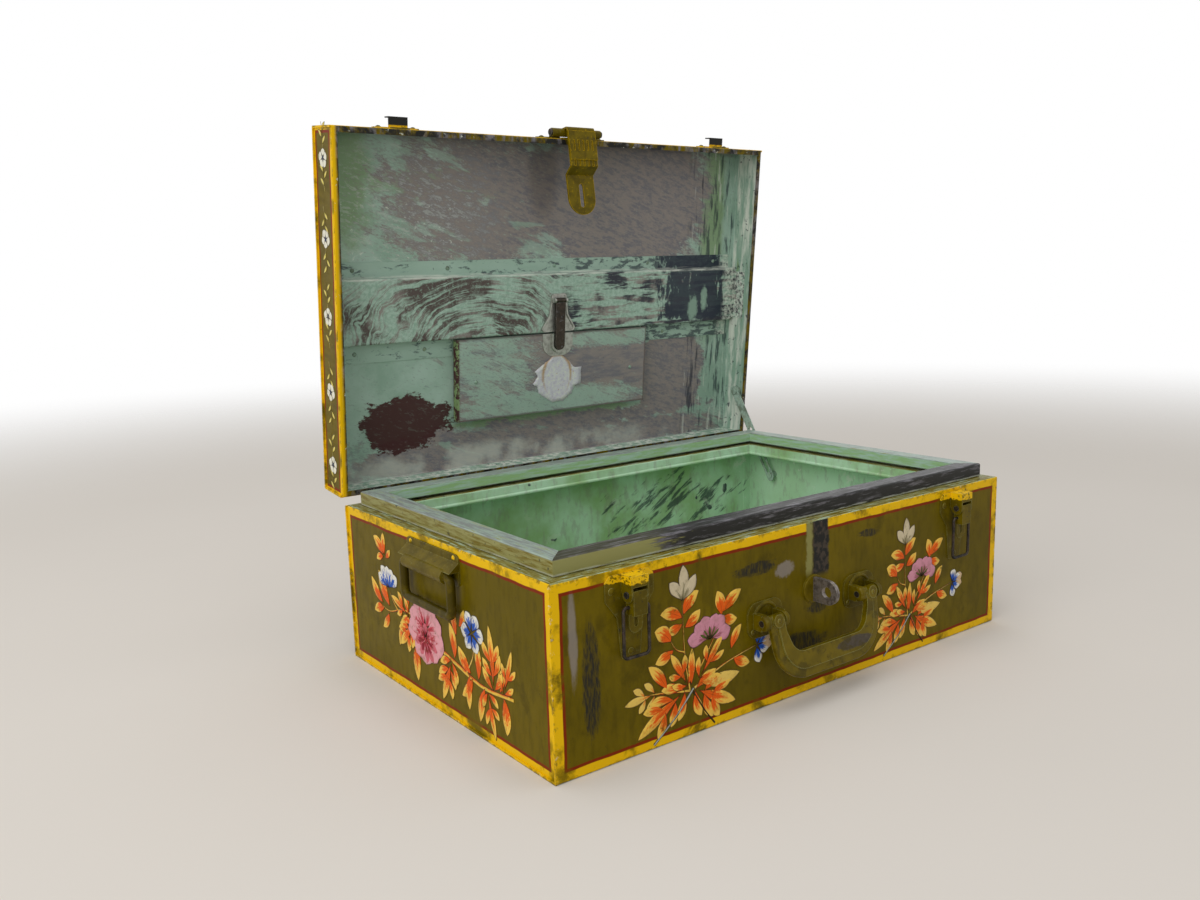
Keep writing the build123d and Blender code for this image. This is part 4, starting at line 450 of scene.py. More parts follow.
def front_marks(point, x, y, z, colour):
    """The marks of use on the front: the bare strip over the staple, scuffs and rubbed patches."""
    front = y < -HALF_DEPTH + 0.4
    edge_x = x + point.noise(0.25, 5.0).scale(-2.5, 2.5)
    strip = edge_x.smooth(-2.0, 2.0) & edge_x.smooth(18.5, 16.0) & z.smooth(84.0, 90.0) & front
    pale = edge_x.smooth(-8.0, -5.5) & edge_x.smooth(1.0, -1.0) & z.smooth(84.0, 94.0) & front
    colour = colour.lay("cream", pale, 0.75)
    colour = colour.lay(point.noise(0.25, 4.0).smooth(0.45, 0.62).mix("soot", "steel"), strip)
    upright, level = (1.0, 1.0, 0.25), (0.3, 1.0, 1.0)

    def at(across, up, wide, high, *torn):
        return point.patch((across, -HALF_DEPTH, up), (wide, 0, high), *torn)

    scuffs = (
        at(-201, 60, 6.5, 36, 1.5, 0.3, 0.2, upright) | at(-57, 104, 19, 4.5, 2.0, 0.3, 0.25, level)
        | at(6, 63, 10, 5, 1.8, 0.3, 0.3, level) | at(-12, 38, 24, 8, 2.2, 0.25, 0.3, level)
        | at(-24, 30, 9, 5, 1.2, 0.3, 0.3, level) | at(62, 108, 11, 3.0, 2.4, 0.25, 0.25, level)
        | at(32, 3, 24, 4, 1.2, 0.2, 0.2, level)
    )
    scratch = point.by("MULTIPLY", (1.0, 1.0, 0.2)).noise(0.7, 4.0, 0.6)
    colour = colour.lay("soot", scuffs & front & scratch.smooth(0.4, 0.6).scale(0.45, 0.95))
    rubbed = at(-29, 98, 9, 5.5, 1.2, 0.2, 0.2) | at(-214, 92, 3, 28, 1.5, 0.2, 0.3, upright)
    return colour.lay("taupe", rubbed & front, 0.65)


def worn_to_metal(point, colour, corner):
    """Corners rubbed through to dark metal, with flecks of white primer."""
    dark = point.flakes(corner.scale(0.0, 0.62), 0.11, soft=0.05)
    colour = colour.lay("soot", dark & corner, 0.85)
    pale = point.flakes(corner.scale(0.0, 0.34), 0.25, soft=0.04)
    return colour.lay("chalk", pale & corner, 0.6)


def along_edges(s, x, y, z):
    """Noise drawn out along the nearest long edge of the ledge or collar, as dry brushing is."""
    slow, quick = 0.05, 0.5
    at_end = HALF_WIDTH - abs(x) < HALF_DEPTH - abs(y)
    drawn = s.joined(s.choose(at_end, x, y) * slow, s.choose(at_end, y, x) * quick, z * quick)
    return drawn.noise(1.0, 6.0, 0.66), at_end


def box_enamel():
    """The whole sheet of the box: olive and borders outside, worn ledge, green inside."""
    s = new_material("box_enamel")
    point = s.place()
    x, y, z = point.split()
    wall_y = abs(y) > HALF_DEPTH - SHEET / 2
    wall_x = (abs(x) > END_PANEL_X / MM - SHEET / 2) & ~wall_y
    walls = wall_x | wall_y

    ground, streaks = olive_ground(s, point)
    across, half = s.choose(wall_y, y, x), s.choose(wall_y, HALF_DEPTH, HALF_WIDTH)
    ground = front_marks(point, x, y, z, ground)
    band = bpy.context.scene.trunk_sizes.band
    lined = bordered(s, ground, point, across, z - BOX_TOP / 2, half, BOX_TOP / 2, band)
    gap = (y < 0.0) & x.smooth(-8.0, -6.0) & x.smooth(17.0, 15.5) & z.smooth(100.0, 104.0)
    near_end = (half - abs(across)).smooth(6.0, 0.0)
    edge = near_end | z.smooth(4.0, 0.0) | z.smooth(BOX_TOP - 5.0, BOX_TOP)
    outside = worn_to_metal(point, gap.mix(lined, ground), edge * 0.72)

    brushed = along_edges(s, x, y, z)[0]
    ledge = brushed.smooth(0.44, 0.58).mix("cream", "olive_light")
    ledge = ledge.lay("mint_light", brushed.smooth(0.46, 0.38), 0.75)
    ledge = ledge.lay("soot", point.flakes(0.26, 0.2, soft=0.05), 0.7)
    colour = walls.mix(box_inside(point, x, y), outside)
    colour = colour.lay(ledge, (z > BOX_TOP - SHEET / 2) & ~walls)
    colour = colour.lay("soot", z < SHEET / 2, 0.6)
    height = streaks * 0.4 + point.noise(0.03, 2.0) * 3.0
    return s.close(colour, point.noise(0.12, 4.0).scale(0.24, 0.5), height, 0.12, gloss=0.08)


def lid_inside(s, point, x, y):
    """The inside of the lid's panel: green enamel rubbed down to taupe metal in sweeping patches."""
    sweep = point.drawn((0.0, 0.0, -0.3), (0.35, 1.0, 1.0))
    scratch = sweep.noise(0.3, 7.0, 0.72)
    cloud = point.noise(0.022, 5.0, 0.6)
    unrubbed_and_door_shadow = (
        point.patch((-206, -104, 0), (24, 52, 0), 1.6, 0.05, 0.4)
        | point.patch((-90, -104, 0), (90, 13, 0), 2.0, 0.03, 0.3)
        # The strip just below the pocket door: unrubbed green, and painted shadow that the door casts on
        # the panel.
        | point.patch((0, 107, 0), (104, 6, 0), 0.8, 0.05, 0.1)
        | point.patch((196, -60, 0), (16, 100, 0), 1.0, 0.04, 0.3)
    )
    green = cloud.smooth(0.34, 0.66).mix("mint", "mint_light").lay("leaf_green", unrubbed_and_door_shadow, 0.7)
    bare = (
        point.patch((82, -97, 0), (104, 66, 0), 0.6, 0.03, 0.3) * 0.95
        | point.patch((-70, -92, 0), (110, 60, 0), 1.0, 0.03, 0.5) * 0.52
        | point.patch((148, 76, 0), (44, 46, 0), 0.5, 0.05, 0.2) * 0.92
        | point.patch((0, 134, 0), (235, 16, 0), 1.0, 0.05, 0.4) * 0.7
        | point.patch((0, 116, 0), (190, 9, 0), 2.0, 0.05, 0.4) * 0.55
    )
    amount = bare + 0.18
    rubbed = sweep.flakes(amount, 0.06, soft=0.045)
    fine = sweep.flakes(amount + 0.08, 0.6, soft=0.03)
    metal = scratch.smooth(0.42, 0.62).mix("taupe", "zinc")
    colour = green.lay(metal, s.choose(0.4, rubbed, fine))
    colour = colour.lay("mint_light", point.noise(0.9, 3.0, 0.6).smooth(0.62, 0.7), 0.28)
    # Brown patch behind the hasp: a dark stain, and painted shadow of the hasp that hangs in front of
    # the panel.
    colour = colour.lay("brown", point.patch((-14, -112, 0), (15, 36, 0), 0.7, 0.04, 0.4), 0.4)
    runs = point.stretched((1.0, 0.12, 1.0)).noise(0.2, 5.0, 0.6)
    right = x.smooth(158.0, 176.0)
    colour = colour.lay("ink", right & runs.smooth(0.53, 0.62).scale(0.0, 0.75))
    colour = colour.lay("chalk", right & runs.smooth(0.4, 0.34).scale(0.0, 0.6))
    dust = point.patch((-150, -78, 0), (80, 60, 0), 1.5, 0.05, 0.5) & scratch.smooth(0.5, 0.62)
    colour = colour.lay("chalk", dust, 0.35)
    low = point.patch((-60, 138, 0), (180, 12, 0), 1.6, 0.05, 0.5) & cloud.smooth(0.4, 0.6)
    colour = colour.lay("chalk", low, 0.5)
    # Painted shade: the panel darkens towards the corner under the lid's front wall.
    colour = colour.lay("soot", y.smooth(-136.0, -147.0), 0.5)
    maroon = point.patch((-154, 99, 0), (42, 24, 0), 1.5, 0.09, 0.05, (0.7, 1.2, 1.0))
    torn = sweep.flakes(0.3, 0.4).scale(0.0, maroon.scale(1.0, 0.1))
    colour = colour.lay("maroon", maroon.scale(0.0, 0.97) & ~torn)
    white = point.flakes(0.17, 0.2) & point.patch((-160, -60, 0), (70, 45, 0), 1.5, 0.05)
    return colour.lay("chalk", white, 0.7)


def lid_enamel():
    """The whole sheet of the lid, worked out in the place it has on the shut trunk."""
    s = new_material("lid_enamel")
    point = s.place(on_lid=True)
    x, y, z = point.split()
    wall_y = abs(y) > LID_HIGH.y - SHEET / 2
    wall_x = (abs(x) > LID_END_X - SHEET / 2) & ~wall_y
    walls = wall_x | wall_y
    top = (z > LID_HIGH.z - SHEET / 2) & ~walls

    ground, streaks = olive_ground(s, point)
    across, half = s.choose(wall_y, y, x), s.choose(wall_y, LID_HIGH.y, LID_HIGH.x)
    sizes = bpy.context.scene.trunk_sizes
    half_height = LID_HIGH.z - LID_MIDDLE
    wall = bordered(s, ground, point, across, z - LID_MIDDLE, half, half_height, sizes.lid_band)
    panel = bordered(s, ground, point, x, y, LID_HIGH.x, LID_HIGH.y, sizes.band)
    edge = (
        z.smooth(LID_LOW.z + 2.5, LID_LOW.z) | z.smooth(LID_HIGH.z - 2.0, LID_HIGH.z)
        | (half - abs(across)).smooth(3.0, 0.0)
    )
    wall = worn_to_metal(point, wall, edge * 0.7)

    chalky = point.stretched((1.0, 0.14, 1.0)).noise(0.14, 6.0, 0.66)
    inner = chalky.smooth(0.42, 0.62).mix("mint", "chalk")
    inner = inner.lay("leaf_green", chalky.smooth(0.4, 0.32), 0.7)
    inner = inner.lay("ink", point.flakes(0.22, 0.16), 0.8)
    # Painted shade: the inside of the front wall, which faces down on the open lid, is made dark olive
    # and black.
    front = y.smooth(-LID_HIGH.y + 1.6, -LID_HIGH.y + 1.2)
    inner = inner.lay(chalky.smooth(0.4, 0.6).mix("olive_dark", "soot"), front)
    colour = lid_inside(s, point, x, y).lay(inner, (z < LID_HIGH.z - INNER_WALL_END) & ~walls)
    colour = colour.lay(wall, walls).lay(panel, top)
    rim = chalky.smooth(0.46, 0.6).mix("olive_light", "zinc")
    rim = rim.lay("soot", point.flakes(0.5, 0.08, soft=0.08))
    rim = rim.lay("yellow", x.smooth(-LID_HIGH.x + 6.0, -LID_HIGH.x + 3.0))
    rim = rim.lay("chalk", point.flakes(0.14, 0.2), 0.7)
    colour = colour.lay(rim, (z < LID_LOW.z + RIM_THICKNESS) & ~walls)
    height = streaks * 0.5 + point.noise(0.12, 6.0, 0.7)
    return s.close(colour, point.noise(0.12, 4.0).scale(0.3, 0.6), height, 0.12, gloss=0.1)


def band_enamel():
    """The band: light green strokes swept in arcs over dark metal, and a blue-black end."""
    s = new_material("band_enamel")
    point = s.place(on_lid=True)
    x, y = point.split()[:2]
    dx = x + 78.0 + point.noise(0.025, 3.0).scale(-26.0, 26.0)
    dy = (y - 34.0) * 1.7
    radius = s.math("POWER", dx * dx + dy * dy, 0.5)
    angle = s.math("ARCTAN2", dy, dx) * 9.0
    arcs = s.joined(radius * 0.12, angle * 0.09, 0.0).noise(1.4, 8.0, 0.74)
    scribble = point.stretched((0.12, 0.9, 1.0), (0.0, 0.0, 0.1)).noise(0.24, 5.0, 0.66)
    strokes = s.choose(x.smooth(30.0, -20.0), scribble, arcs)
    fine = point.noise(0.3, 5.0, 0.7)
    cloud = point.noise(0.035, 4.0)
    dark = cloud.smooth(0.4, 0.6).mix("brown", "taupe").lay("mint", fine.smooth(0.5, 0.7), 0.7)
    dark = dark.lay("ink", x.smooth(-30.0, 10.0) & cloud.smooth(0.6, 0.44), 0.8)
    green = fine.smooth(0.35, 0.65).mix("mint", "mint_light")
    colour = dark.lay(green, (strokes + cloud.scale(-0.2, 0.2)).smooth(0.43, 0.55))

    pale = point.stretched((0.3, 1.0, 1.0)).noise(0.1, 4.0).mix("mint", "mint_light")
    drips = point.flakes(x.smooth(-60.0, 150.0).scale(0.3, 0.5), 0.2, (0.35, 0.9, 1.0), 0.05)
    flanges = y.smooth(-26.5, -28.5) | y.smooth(27.0, 28.0)
    colour = colour.lay(pale.lay("ink", drips, 0.8), flanges)
    stained = x.smooth(95.0, 150.0) & y.smooth(27.0, 20.0) & x.smooth(216.0, 205.0)
    colour = colour.lay("ink", point.flakes(stained * 0.78, 0.12, (1.3, 0.4, 1.0), 0.05), 0.95)
    drops = (
        point.patch((168, 12, 0), (6, 12, 0), 1.6, 0.2, 0.3)
        | point.patch((183, 2, 0), (4, 12, 0), 1.6, 0.2, 0.3)
    )
    colour = colour.lay("mint", drops, 0.8)
    colour = colour.lay("chalk", x.smooth(206.0, 216.0) & fine.smooth(0.4, 0.6), 0.8)
    lip = y.smooth(-30.5, -28.0) & y.smooth(-25.5, -27.0) & scribble.smooth(0.4, 0.6)
    colour = colour.lay("chalk", lip, 0.8)
    return s.close(colour, strokes.scale(0.28, 0.55), strokes + fine * 0.4, 0.18)


def door_enamel():
    """The pocket door: taupe metal with green smears, and a chipped left edge."""
    s = new_material("door_enamel")
    point = s.place(on_lid=True)
    x, y = point.split()[:2]
    grain = point.stretched((0.25, 1.0, 1.0), (0.0, 0.0, -0.3)).noise(0.16, 6.0, 0.68)
    cloud = point.noise(0.03, 5.0, 0.6)
    amount = (
        point.patch((-70, 52, 0), (50, 40, 0), 0.9, 0.03, 0.4) * 0.46
        | point.patch((-10, 92, 0), (110, 14, 0), 0.9, 0.04, 0.5) * 0.55
        | point.patch((60, 36, 0), (70, 9, 0), 1.0, 0.04, 0.5) * 0.5
    )
    sweep = point.drawn((0.0, 0.0, -0.35), (0.35, 1.2, 1.0))
    broad = sweep.flakes(amount + 0.12, 0.09, soft=0.05)
    fine = sweep.flakes(amount + 0.16, 0.7, soft=0.03)
    colour = grain.smooth(0.4, 0.64).mix("taupe", "zinc")
    colour = colour.lay(cloud.mix("mint", "mint_light"), s.choose(0.45, broad, fine), 0.9)
    chipped = point.flakes(0.55, 0.14).mix("leaf_green", "maroon")
    colour = colour.lay(chipped, x.smooth(DOOR_LOW.x + 3.5, DOOR_LOW.x + 1.0))
    # Brown along the door's right, top and bottom edges: dirt, and painted shade where the door stands
    # off the panel.
    inward = (DOOR_HIGH.x - x).least(DOOR_HIGH.y - y).least(y - DOOR_LOW.y)
    colour = colour.lay("brown", (inward + grain.scale(-1.8, 1.8)).smooth(2.2, 0.6), 0.7)
    colour = colour.lay("brown", point.noise(0.5, 3.0).smooth(0.64, 0.72), 0.5)
    return s.close(colour, grain.scale(0.34, 0.58), grain + cloud, 0.1)


def collar_enamel():
    """The collar: cream-olive at the left, black in front, green behind, bare along its top."""
    s = new_material("collar_enamel")
    point = s.place()
    x, y, z = point.split()
    brushed, at_end = along_edges(s, x, y, z)
    front = (y < 0.0) & ~at_end
    near_left = (x + brushed.scale(-60.0, 60.0)).smooth(-120.0, -140.0)
    # The black front is streaked with violet zinc: rubbed bare metal, and painted highlights on the
    # black paint.
    black = brushed.smooth(0.5, 0.7).mix("soot", "zinc").lay("cream", near_left)
    cream = brushed.smooth(0.4, 0.66).mix("cream", "olive_light")
    cream = cream.lay("soot", point.flakes(0.22, 0.2), 0.8)
    colour = brushed.smooth(0.4, 0.62).mix("box_green", "mint_light")
    colour = colour.lay(black, front).lay(cream, at_end & (x < 0.0))
    bare = brushed.smooth(0.4, 0.6).scale(0.15, 0.8).mix("zinc", "mint_light")
    bare = bare.lay("cream", brushed.smooth(0.54, 0.66))
    bare = bare.lay("soot", z.smooth(BOX_TOP + 11.1, BOX_TOP + 10.6), 0.6)
    # At the front the bare top is black streaked with zinc: rubbed metal, and painted highlights.
    bare = bare.lay(brushed.smooth(0.46, 0.7).mix("soot", "zinc"), front)
    colour = colour.lay(bare, z.smooth(BOX_TOP + 10.2, BOX_TOP + 11.0), 0.9)
    foot = z.smooth(BOX_TOP + 2.4, BOX_TOP + 0.6) & brushed.smooth(0.42, 0.54)
    colour = colour.lay("chalk", foot, 0.8)
    return s.close(colour, point.noise(0.1, 4.0).scale(0.26, 0.5), brushed, 0.12)


# ---------------------------------------------------------------- fittings and bare metal
def fitting_enamel(name, base, under, on_lid=False, yellow_from=None, rough=0.3, dark_hook=False):
    """Enamel over a pressed fitting: worn to metal at its edges, painted glints there on the hasp, grime
    flecks.
    """
    s = new_material(name)
    point = s.place(on_lid)
    y, z = point.split()[1:]
    drift = point.noise(0.09, 5.0, 0.6)
    colour = drift.smooth(0.42, 0.64).scale(0.0, 0.6).mix(base, "olive_dark")
    colour = colour.lay("olive_light", drift.smooth(0.5, 0.35), 0.4)
    if yellow_from is not None:
        ragged = z + point.noise(0.2, 4.0).scale(-2.6, 2.6)
        yellow = ragged.smooth(yellow_from - 0.4, yellow_from + 0.4)
        colour = colour.lay("yellow", yellow & ~(point.flakes(0.36, 0.2) * 0.85))
    colour = colour.lay("soot", point.flakes(0.2, 0.35), 0.75)
    # The edges take the under colour as worn metal; on the hasp, whose under colour is yellow, they are
    # painted glints.
    worn = point.worn(0.0006, 0.25, 0.35)
    colour = colour.lay(under, worn, 0.6)
    if dark_hook:
        colour = colour.lay("soot", y.smooth(LID_LOW.y - 2.2, LID_LOW.y - 3.2))
    roughness = drift.scale(rough, rough + 0.2)
    return s.close(colour, roughness, point.noise(0.5, 5.0), 0.1, worn * 0.4, 0.12)


def bare_metal(name, light, dark, tint, shine=0.35, tarnish=1.0):
    """Old bare steel: tarnished in patches, polished by hands on its edges."""
    s = new_material(name)
    point = s.place()
    tone = point.noise(0.25, 5.0, 0.62)
    rust = point.flakes(0.26, 0.3)
    colour = tone.smooth(0.4, 0.66).scale(0.0, tarnish).mix(light, dark)
    colour = colour.lay(tint, rust, 0.7 * tarnish)
    colour = colour.lay("bright_steel", point.worn(0.0004, 0.2, 0.4), 0.5)
    metallic = tone.scale(0.95, 0.55) & ~(rust * 0.7)
    return s.close(colour, tone.scale(shine, shine + 0.3), point.noise(0.9, 5.0), 0.05, metallic)


def handle_enamel_with_highlights():
    """The front handle: olive enamel, its grip rubbed down to brown metal, painted highlights on its
    edges.
    """
    s = new_material("handle_enamel_with_highlights")
    point = s.place()
    drift = point.noise(0.08, 4.0, 0.6)
    colour = drift.smooth(0.38, 0.64).mix("olive", "olive_light")
    grip = point.patch((24, -160, 37), (20, 0, 4.5), 1.0, 0.14, 0.1, (0.5, 1.0, 1.0))
    colour = colour.lay(point.noise(0.3, 4.0).mix("brown", "soot"), grip, 0.85)
    colour = colour.lay("olive_dark", point.flakes(0.4, 0.1, soft=0.06), 0.7)
    # Cream along the edges: worn paint, and painted highlights on the handle's edges.
    colour = colour.lay("cream", point.worn(0.0009, 0.12, 0.25), 0.75)
    return s.close(colour, drift.scale(0.24, 0.44), point.noise(0.35, 5.0), 0.1, gloss=0.16)


def paper_material():
    """A remnant of blank paper, mottled, with dried glue along its upper edge."""
    s = new_material("old_paper")
    point = s.place(on_lid=True)
    fibres = point.noise(0.35, 6.0, 0.7)
    colour = fibres.smooth(0.42, 0.68).mix("paper", "chalk")
    colour = colour.lay("taupe", fibres.smooth(0.46, 0.3), 0.35)
    outer = point.patch((0, 66, 0), (17, 21, 0), 0.25, 0.1)
    arc = outer & ~point.patch((0, 69, 0), (15, 20, 0), 0.25, 0.1)
    colour = colour.lay("ochre", arc & point.flakes(0.75, 0.12), 0.8)
    colour = colour.lay("ochre", point.noise(0.45, 1.5).smooth(0.7, 0.73), 0.6)
    return s.close(colour, fibres.scale(0.75, 0.95), fibres, 0.06)


def stroke_material():
    """Brush-stroke paint: ground and shade from the stroke, bristle streaks and a brown outline."""
    s = new_material("flower_paint")
    point = s.place()
    along, over = s.add("ShaderNodeUVMap", None, "UV", uv_map="UVMap").split()[:2]
    reach, rim = s.attribute("Reach"), s.attribute("Rim")
    bristles = s.joined(along * 1.4, over * 7.0, point.noise(0.02, 1.0) * 40.0).noise(1.0, 3.0)
    middle = abs(over - 0.5)
    fade = (reach - along + bristles.scale(-0.55, 0.55) - middle * 0.5).smooth(-0.12, 0.2)
    colour = fade.mix(s.attribute("Ground", "Color"), s.attribute("Shade", "Color"))
    colour = colour.lay("olive", point.noise(0.2, 5.0).smooth(0.46, 0.7), 0.28)
    vein = middle.smooth(0.03, 0.012) & along.smooth(0.6, 0.3) & reach.smooth(0.44, 0.5)
    colour = colour.lay("outline", vein, 0.55)
    ragged = point.noise(0.35, 3.0).scale(0.5, 1.4)
    width = ragged * (bpy.context.scene.trunk_sizes.outline / MM)
    colour = colour.lay("outline", (rim - width).smooth(0.12, -0.12), 0.85)
    colour = colour.lay("olive", point.flakes(0.16, 0.2), 0.75)
    return s.close(colour, bristles.scale(0.3, 0.5), bristles, 0.05, gloss=0.1)


def dress(material, *names):
    """Give CAD nodes a finish; a name that ends in an underscore stands for all that begin so."""
    starts = tuple(name for name in names if name.endswith("_"))
    for name, node in frame["nodes"].items():
        if name in names or name.startswith(starts):
            if not node.material_slots:
                node.data.materials.append(material)
            for slot in node.material_slots:
                slot.material = material


# ---------------------------------------------------------------- brush strokes
def placed(name, data):
    """A new object in the scene."""
    made = bpy.data.objects.new(name, data)
    bpy.context.scene.collection.objects.link(made)
    return made


def mesh_object(name, mesh, material):
    """A new object in the scene made of a bmesh, with its finish."""
    data = bpy.data.meshes.new(name)
    mesh.to_mesh(data)
    mesh.free()
    data.materials.append(material)
    return placed(name, data)


class Face:
    """A flat face of the trunk that carries painting: where it is, its directions and its body."""

    def __init__(self, origin, across, up, body, carry=None):
        self.origin = Vector(origin)
        self.across = Vector(across)
        self.up = Vector(up)
        self.out = self.across.cross(self.up)
        self.body = body
        self.carry = carry or Matrix.Identity(4)

    def point(self, u, v, rise):
        """A point of the face, from millimetres across and up, standing out by rise millimetres."""
        place = self.origin + (self.across * u + self.up * v + self.out * rise) * MM
        return self.carry @ place


LID_END = LID_END_X * MM
FACES = {
    "front": Face((0, -BOX_HIGH.y, 0), (1, 0, 0), (0, 0, 1), "trunk"),
    "back": Face((0, BOX_HIGH.y, 0), (-1, 0, 0), (0, 0, 1), "trunk"),
    "left": Face((-END_PANEL_X, 0, 0), (0, -1, 0), (0, 0, 1), "trunk"),
    "right": Face((END_PANEL_X, 0, 0), (0, 1, 0), (0, 0, 1), "trunk"),
    "lid_top": Face((0, 0, LID_HIGH.z * MM), (1, 0, 0), (0, 1, 0), "lid", OPENING),
    "lid_left": Face((-LID_END, 0, 0), (0, -1, 0), (0, 0, 1), "lid", OPENING),
    "lid_right": Face((LID_END, 0, 0), (0, 1, 0), (0, 0, 1), "lid", OPENING),
    "sheet": Face((0, 0, 0), (1, 0, 0), (0, 1, 0), None),
}


def pigment(ground, shade, reach):
    """A two-coloured brushful: how far up the stroke, from 0 to 1, the shade reaches."""
    return screen(*ground), screen(*shade), reach


LEAF = pigment((238, 196, 84), (226, 92, 16), 0.72)
PALE_LEAF = pigment((228, 194, 96), (222, 126, 40), 0.4)
ROSE = pigment((224, 160, 168), (186, 52, 70), 0.5)
DEEP_ROSE = pigment((206, 104, 118), (140, 24, 44), 0.66)
PINK = pigment((208, 142, 160), (150, 84, 96), 0.42)
BLUE = pigment((226, 224, 214), (30, 84, 178), 0.72)
BUD = pigment((206, 192, 160), (126, 118, 88), 0.4)
CREAM = pigment((208, 180, 142), (156, 122, 84), 0.35)
STEM = pigment((228, 188, 74), (220, 108, 36), 0.5)
SILVER = pigment((178, 182, 172), (92, 96, 88), 0.5)
SHADOW = pigment((58, 50, 14), (36, 30, 10), 0.5)
SEPAL = pigment((88, 96, 40), (52, 56, 20), 0.6)
SPRIG_WHITE = pigment((232, 230, 212), (150, 156, 150), 0.3)
SPRIG_EYE = pigment((52, 64, 92), (30, 40, 66), 0.8)
SPRIG_GREEN = pigment((222, 206, 110), (170, 156, 40), 0.4)


def across_of(way):
    """The unit direction to the right of a way in the plane."""
    return Vector((way.y, -way.x)).normalized()


class Brush:
    """Gathers strokes on one face and turns them into one thin raised mesh."""

    COLUMNS = (-1.0, -0.55, 0.0, 0.55, 1.0)
    LAYER_STEP = 0.006
    SUNK = -0.02
    LEAF_ROWS = 12
    STEM_STEPS = 6
    LEAST_HALF = 0.12
    EDGE_HEIGHT, CROWN_HEIGHT = 0.55, 0.45
    SWELL_POWER = 0.8
    FROND_FOOT, FROND_RUN, MIDDLE_FOOT = 0.02, 0.6, 0.1
    FINGER_SPREAD, SPREAD_LOSS = 0.66, 0.16
    FINGER_REACH, REACH_CHANGE = 0.32, 0.06
    FINGER_WIDTH, MIDDLE_WIDTH = 0.37, 0.42
    FINGER_BEND, FINGER_FULL = 0.14, 1.45
    MIDDLE_BEND, MIDDLE_FULL = 0.03, 1.35
    PETAL_FOOT, PETAL_FULL = 0.08, 1.65
    PETAL_SWING, PETAL_BEND = 4, 0.06
    PETAL_LENGTHS, PETAL_WIDTHS = (0.9, 1.08), (0.92, 1.08)

    def __init__(self, face, origin=(0, 0), scale=1.0, flip=1):
        self.face = FACES[face]
        self.relief = bpy.context.scene.trunk_sizes.relief / MM
        self.origin, self.size, self.flip = Vector(origin), scale, flip
        self.layers = 0
        self.mesh = bmesh.new()
        self.uv = self.mesh.loops.layers.uv.new("UVMap")
        layers = self.mesh.verts.layers
        self.ground, self.shade = layers.float_color.new("Ground"), layers.float_color.new("Shade")
        self.rim, self.reach = layers.float.new("Rim"), layers.float.new("Reach")

    def on_face(self, point, rise):
        place = self.origin + Vector((point.x * self.flip, point.y)) * self.size
        return self.face.point(place.x, place.y, rise)

    def stroke(self, centres, lefts, rights, colours, sideways=False):
        """One closed pillow of paint between a left and a right edge along a centre line."""
        lift = self.relief + self.layers * self.LAYER_STEP
        self.layers += 1
        rows = []
        for centre, left, right in zip(centres, lefts, rights):
            half = (left - right).length / 2 * self.size
            top, low = [], []
            for column in self.COLUMNS:
                spot = centre.lerp(right if column > 0 else left, abs(column))
                crown = lift * (self.EDGE_HEIGHT + self.CROWN_HEIGHT * (1 - column * column))
                for rise, verts in ((crown, top), (self.SUNK, low)):
                    vert = self.mesh.verts.new(self.on_face(spot, rise))
                    vert[self.ground], vert[self.shade], vert[self.reach] = colours
                    vert[self.rim] = half * (1 - abs(column)) if rise > 0 else 0.0
                    verts.append(vert)
            rows.append((top, low))
        over = [(column + 1) / 2 for column in self.COLUMNS]
        count = len(rows) - 1
        for i in range(count):
            start, end = i / count, (i + 1) / count
            (top, low), (next_top, next_low) = rows[i], rows[i + 1]
            for k in range(len(over) - 1):
                spots = [(start, over[k]), (start, over[k + 1]), (end, over[k + 1]), (end, over[k])]
                self.quad((top[k], top[k + 1], next_top[k + 1], next_top[k]), spots, sideways)
                self.quad((low[k + 1], low[k], next_low[k], next_low[k + 1]), spots, sideways)
            for k, order in ((0, 1), (-1, -1)):
                wall = (low[k], top[k], next_top[k], next_low[k])
                spots = [(start, 0.0), (start, 0.0), (end, 0.0), (end, 0.0)]
                self.quad(wall[::order], spots, sideways)
        for (top, low), along, order in ((rows[0], 0.0, 1), (rows[-1], 1.0, -1)):
            ring = low + top[::-1]
            self.quad(ring[::order], [(along, 0.0)] * len(ring), sideways)

    def quad(self, verts, spots, sideways):
        face = self.mesh.faces.new(verts)
        face.smooth = True
        for loop, (along, over) in zip(face.loops, spots):
            loop[self.uv].uv = (over, along) if sideways else (along, over)

    def leaf(self, base, tip, width, colours=LEAF, bend=0.12, full=1.1):
        """A leaf or petal from base to tip; the fuller it is, the nearer its tip it is widest."""
        base, tip = Vector(base), Vector(tip)
        way = tip - base
        knee = (base + tip) / 2 + across_of(way) * way.length * bend
        centres, lefts, rights = [], [], []
        for i in range(self.LEAF_ROWS + 1):
            t = i / self.LEAF_ROWS
            near, far = base.lerp(knee, t), knee.lerp(tip, t)
            centre = near.lerp(far, t)
            ahead = (far - near).normalized()
            swell = max(math.sin(math.pi * t ** full), 0.0) ** self.SWELL_POWER
            half = Vector((ahead.y, -ahead.x)) * max(width / 2 * swell, self.LEAST_HALF)
            centres.append(centre)
            rights.append(centre + half)
            lefts.append(centre - half)
        self.stroke(centres, lefts, rights, colours)

    def frond(self, base, tip, width, pairs, colours=LEAF):
        """A leaf cut into rounded fingers: overlapping strokes set in pairs along its middle."""
        base, way = Vector(base), Vector(tip) - Vector(base)
        side = across_of(way)
        for i in range(pairs):
            share = i / pairs
            root = base + way * (self.FROND_FOOT + self.FROND_RUN * share)
            for turn in (1, -1):
                spread = width * (self.FINGER_SPREAD - self.SPREAD_LOSS * share) * turn
                reach = self.FINGER_REACH + self.REACH_CHANGE * turn * (i % 2)
                end = root + way * reach + side * spread
                finger, bend = width * self.FINGER_WIDTH, self.FINGER_BEND * turn
                self.leaf(root, end, finger, colours, bend, self.FINGER_FULL)
        foot, middle = base + way * self.MIDDLE_FOOT, width * self.MIDDLE_WIDTH
        self.leaf(foot, tip, middle, colours, self.MIDDLE_BEND, self.MIDDLE_FULL)

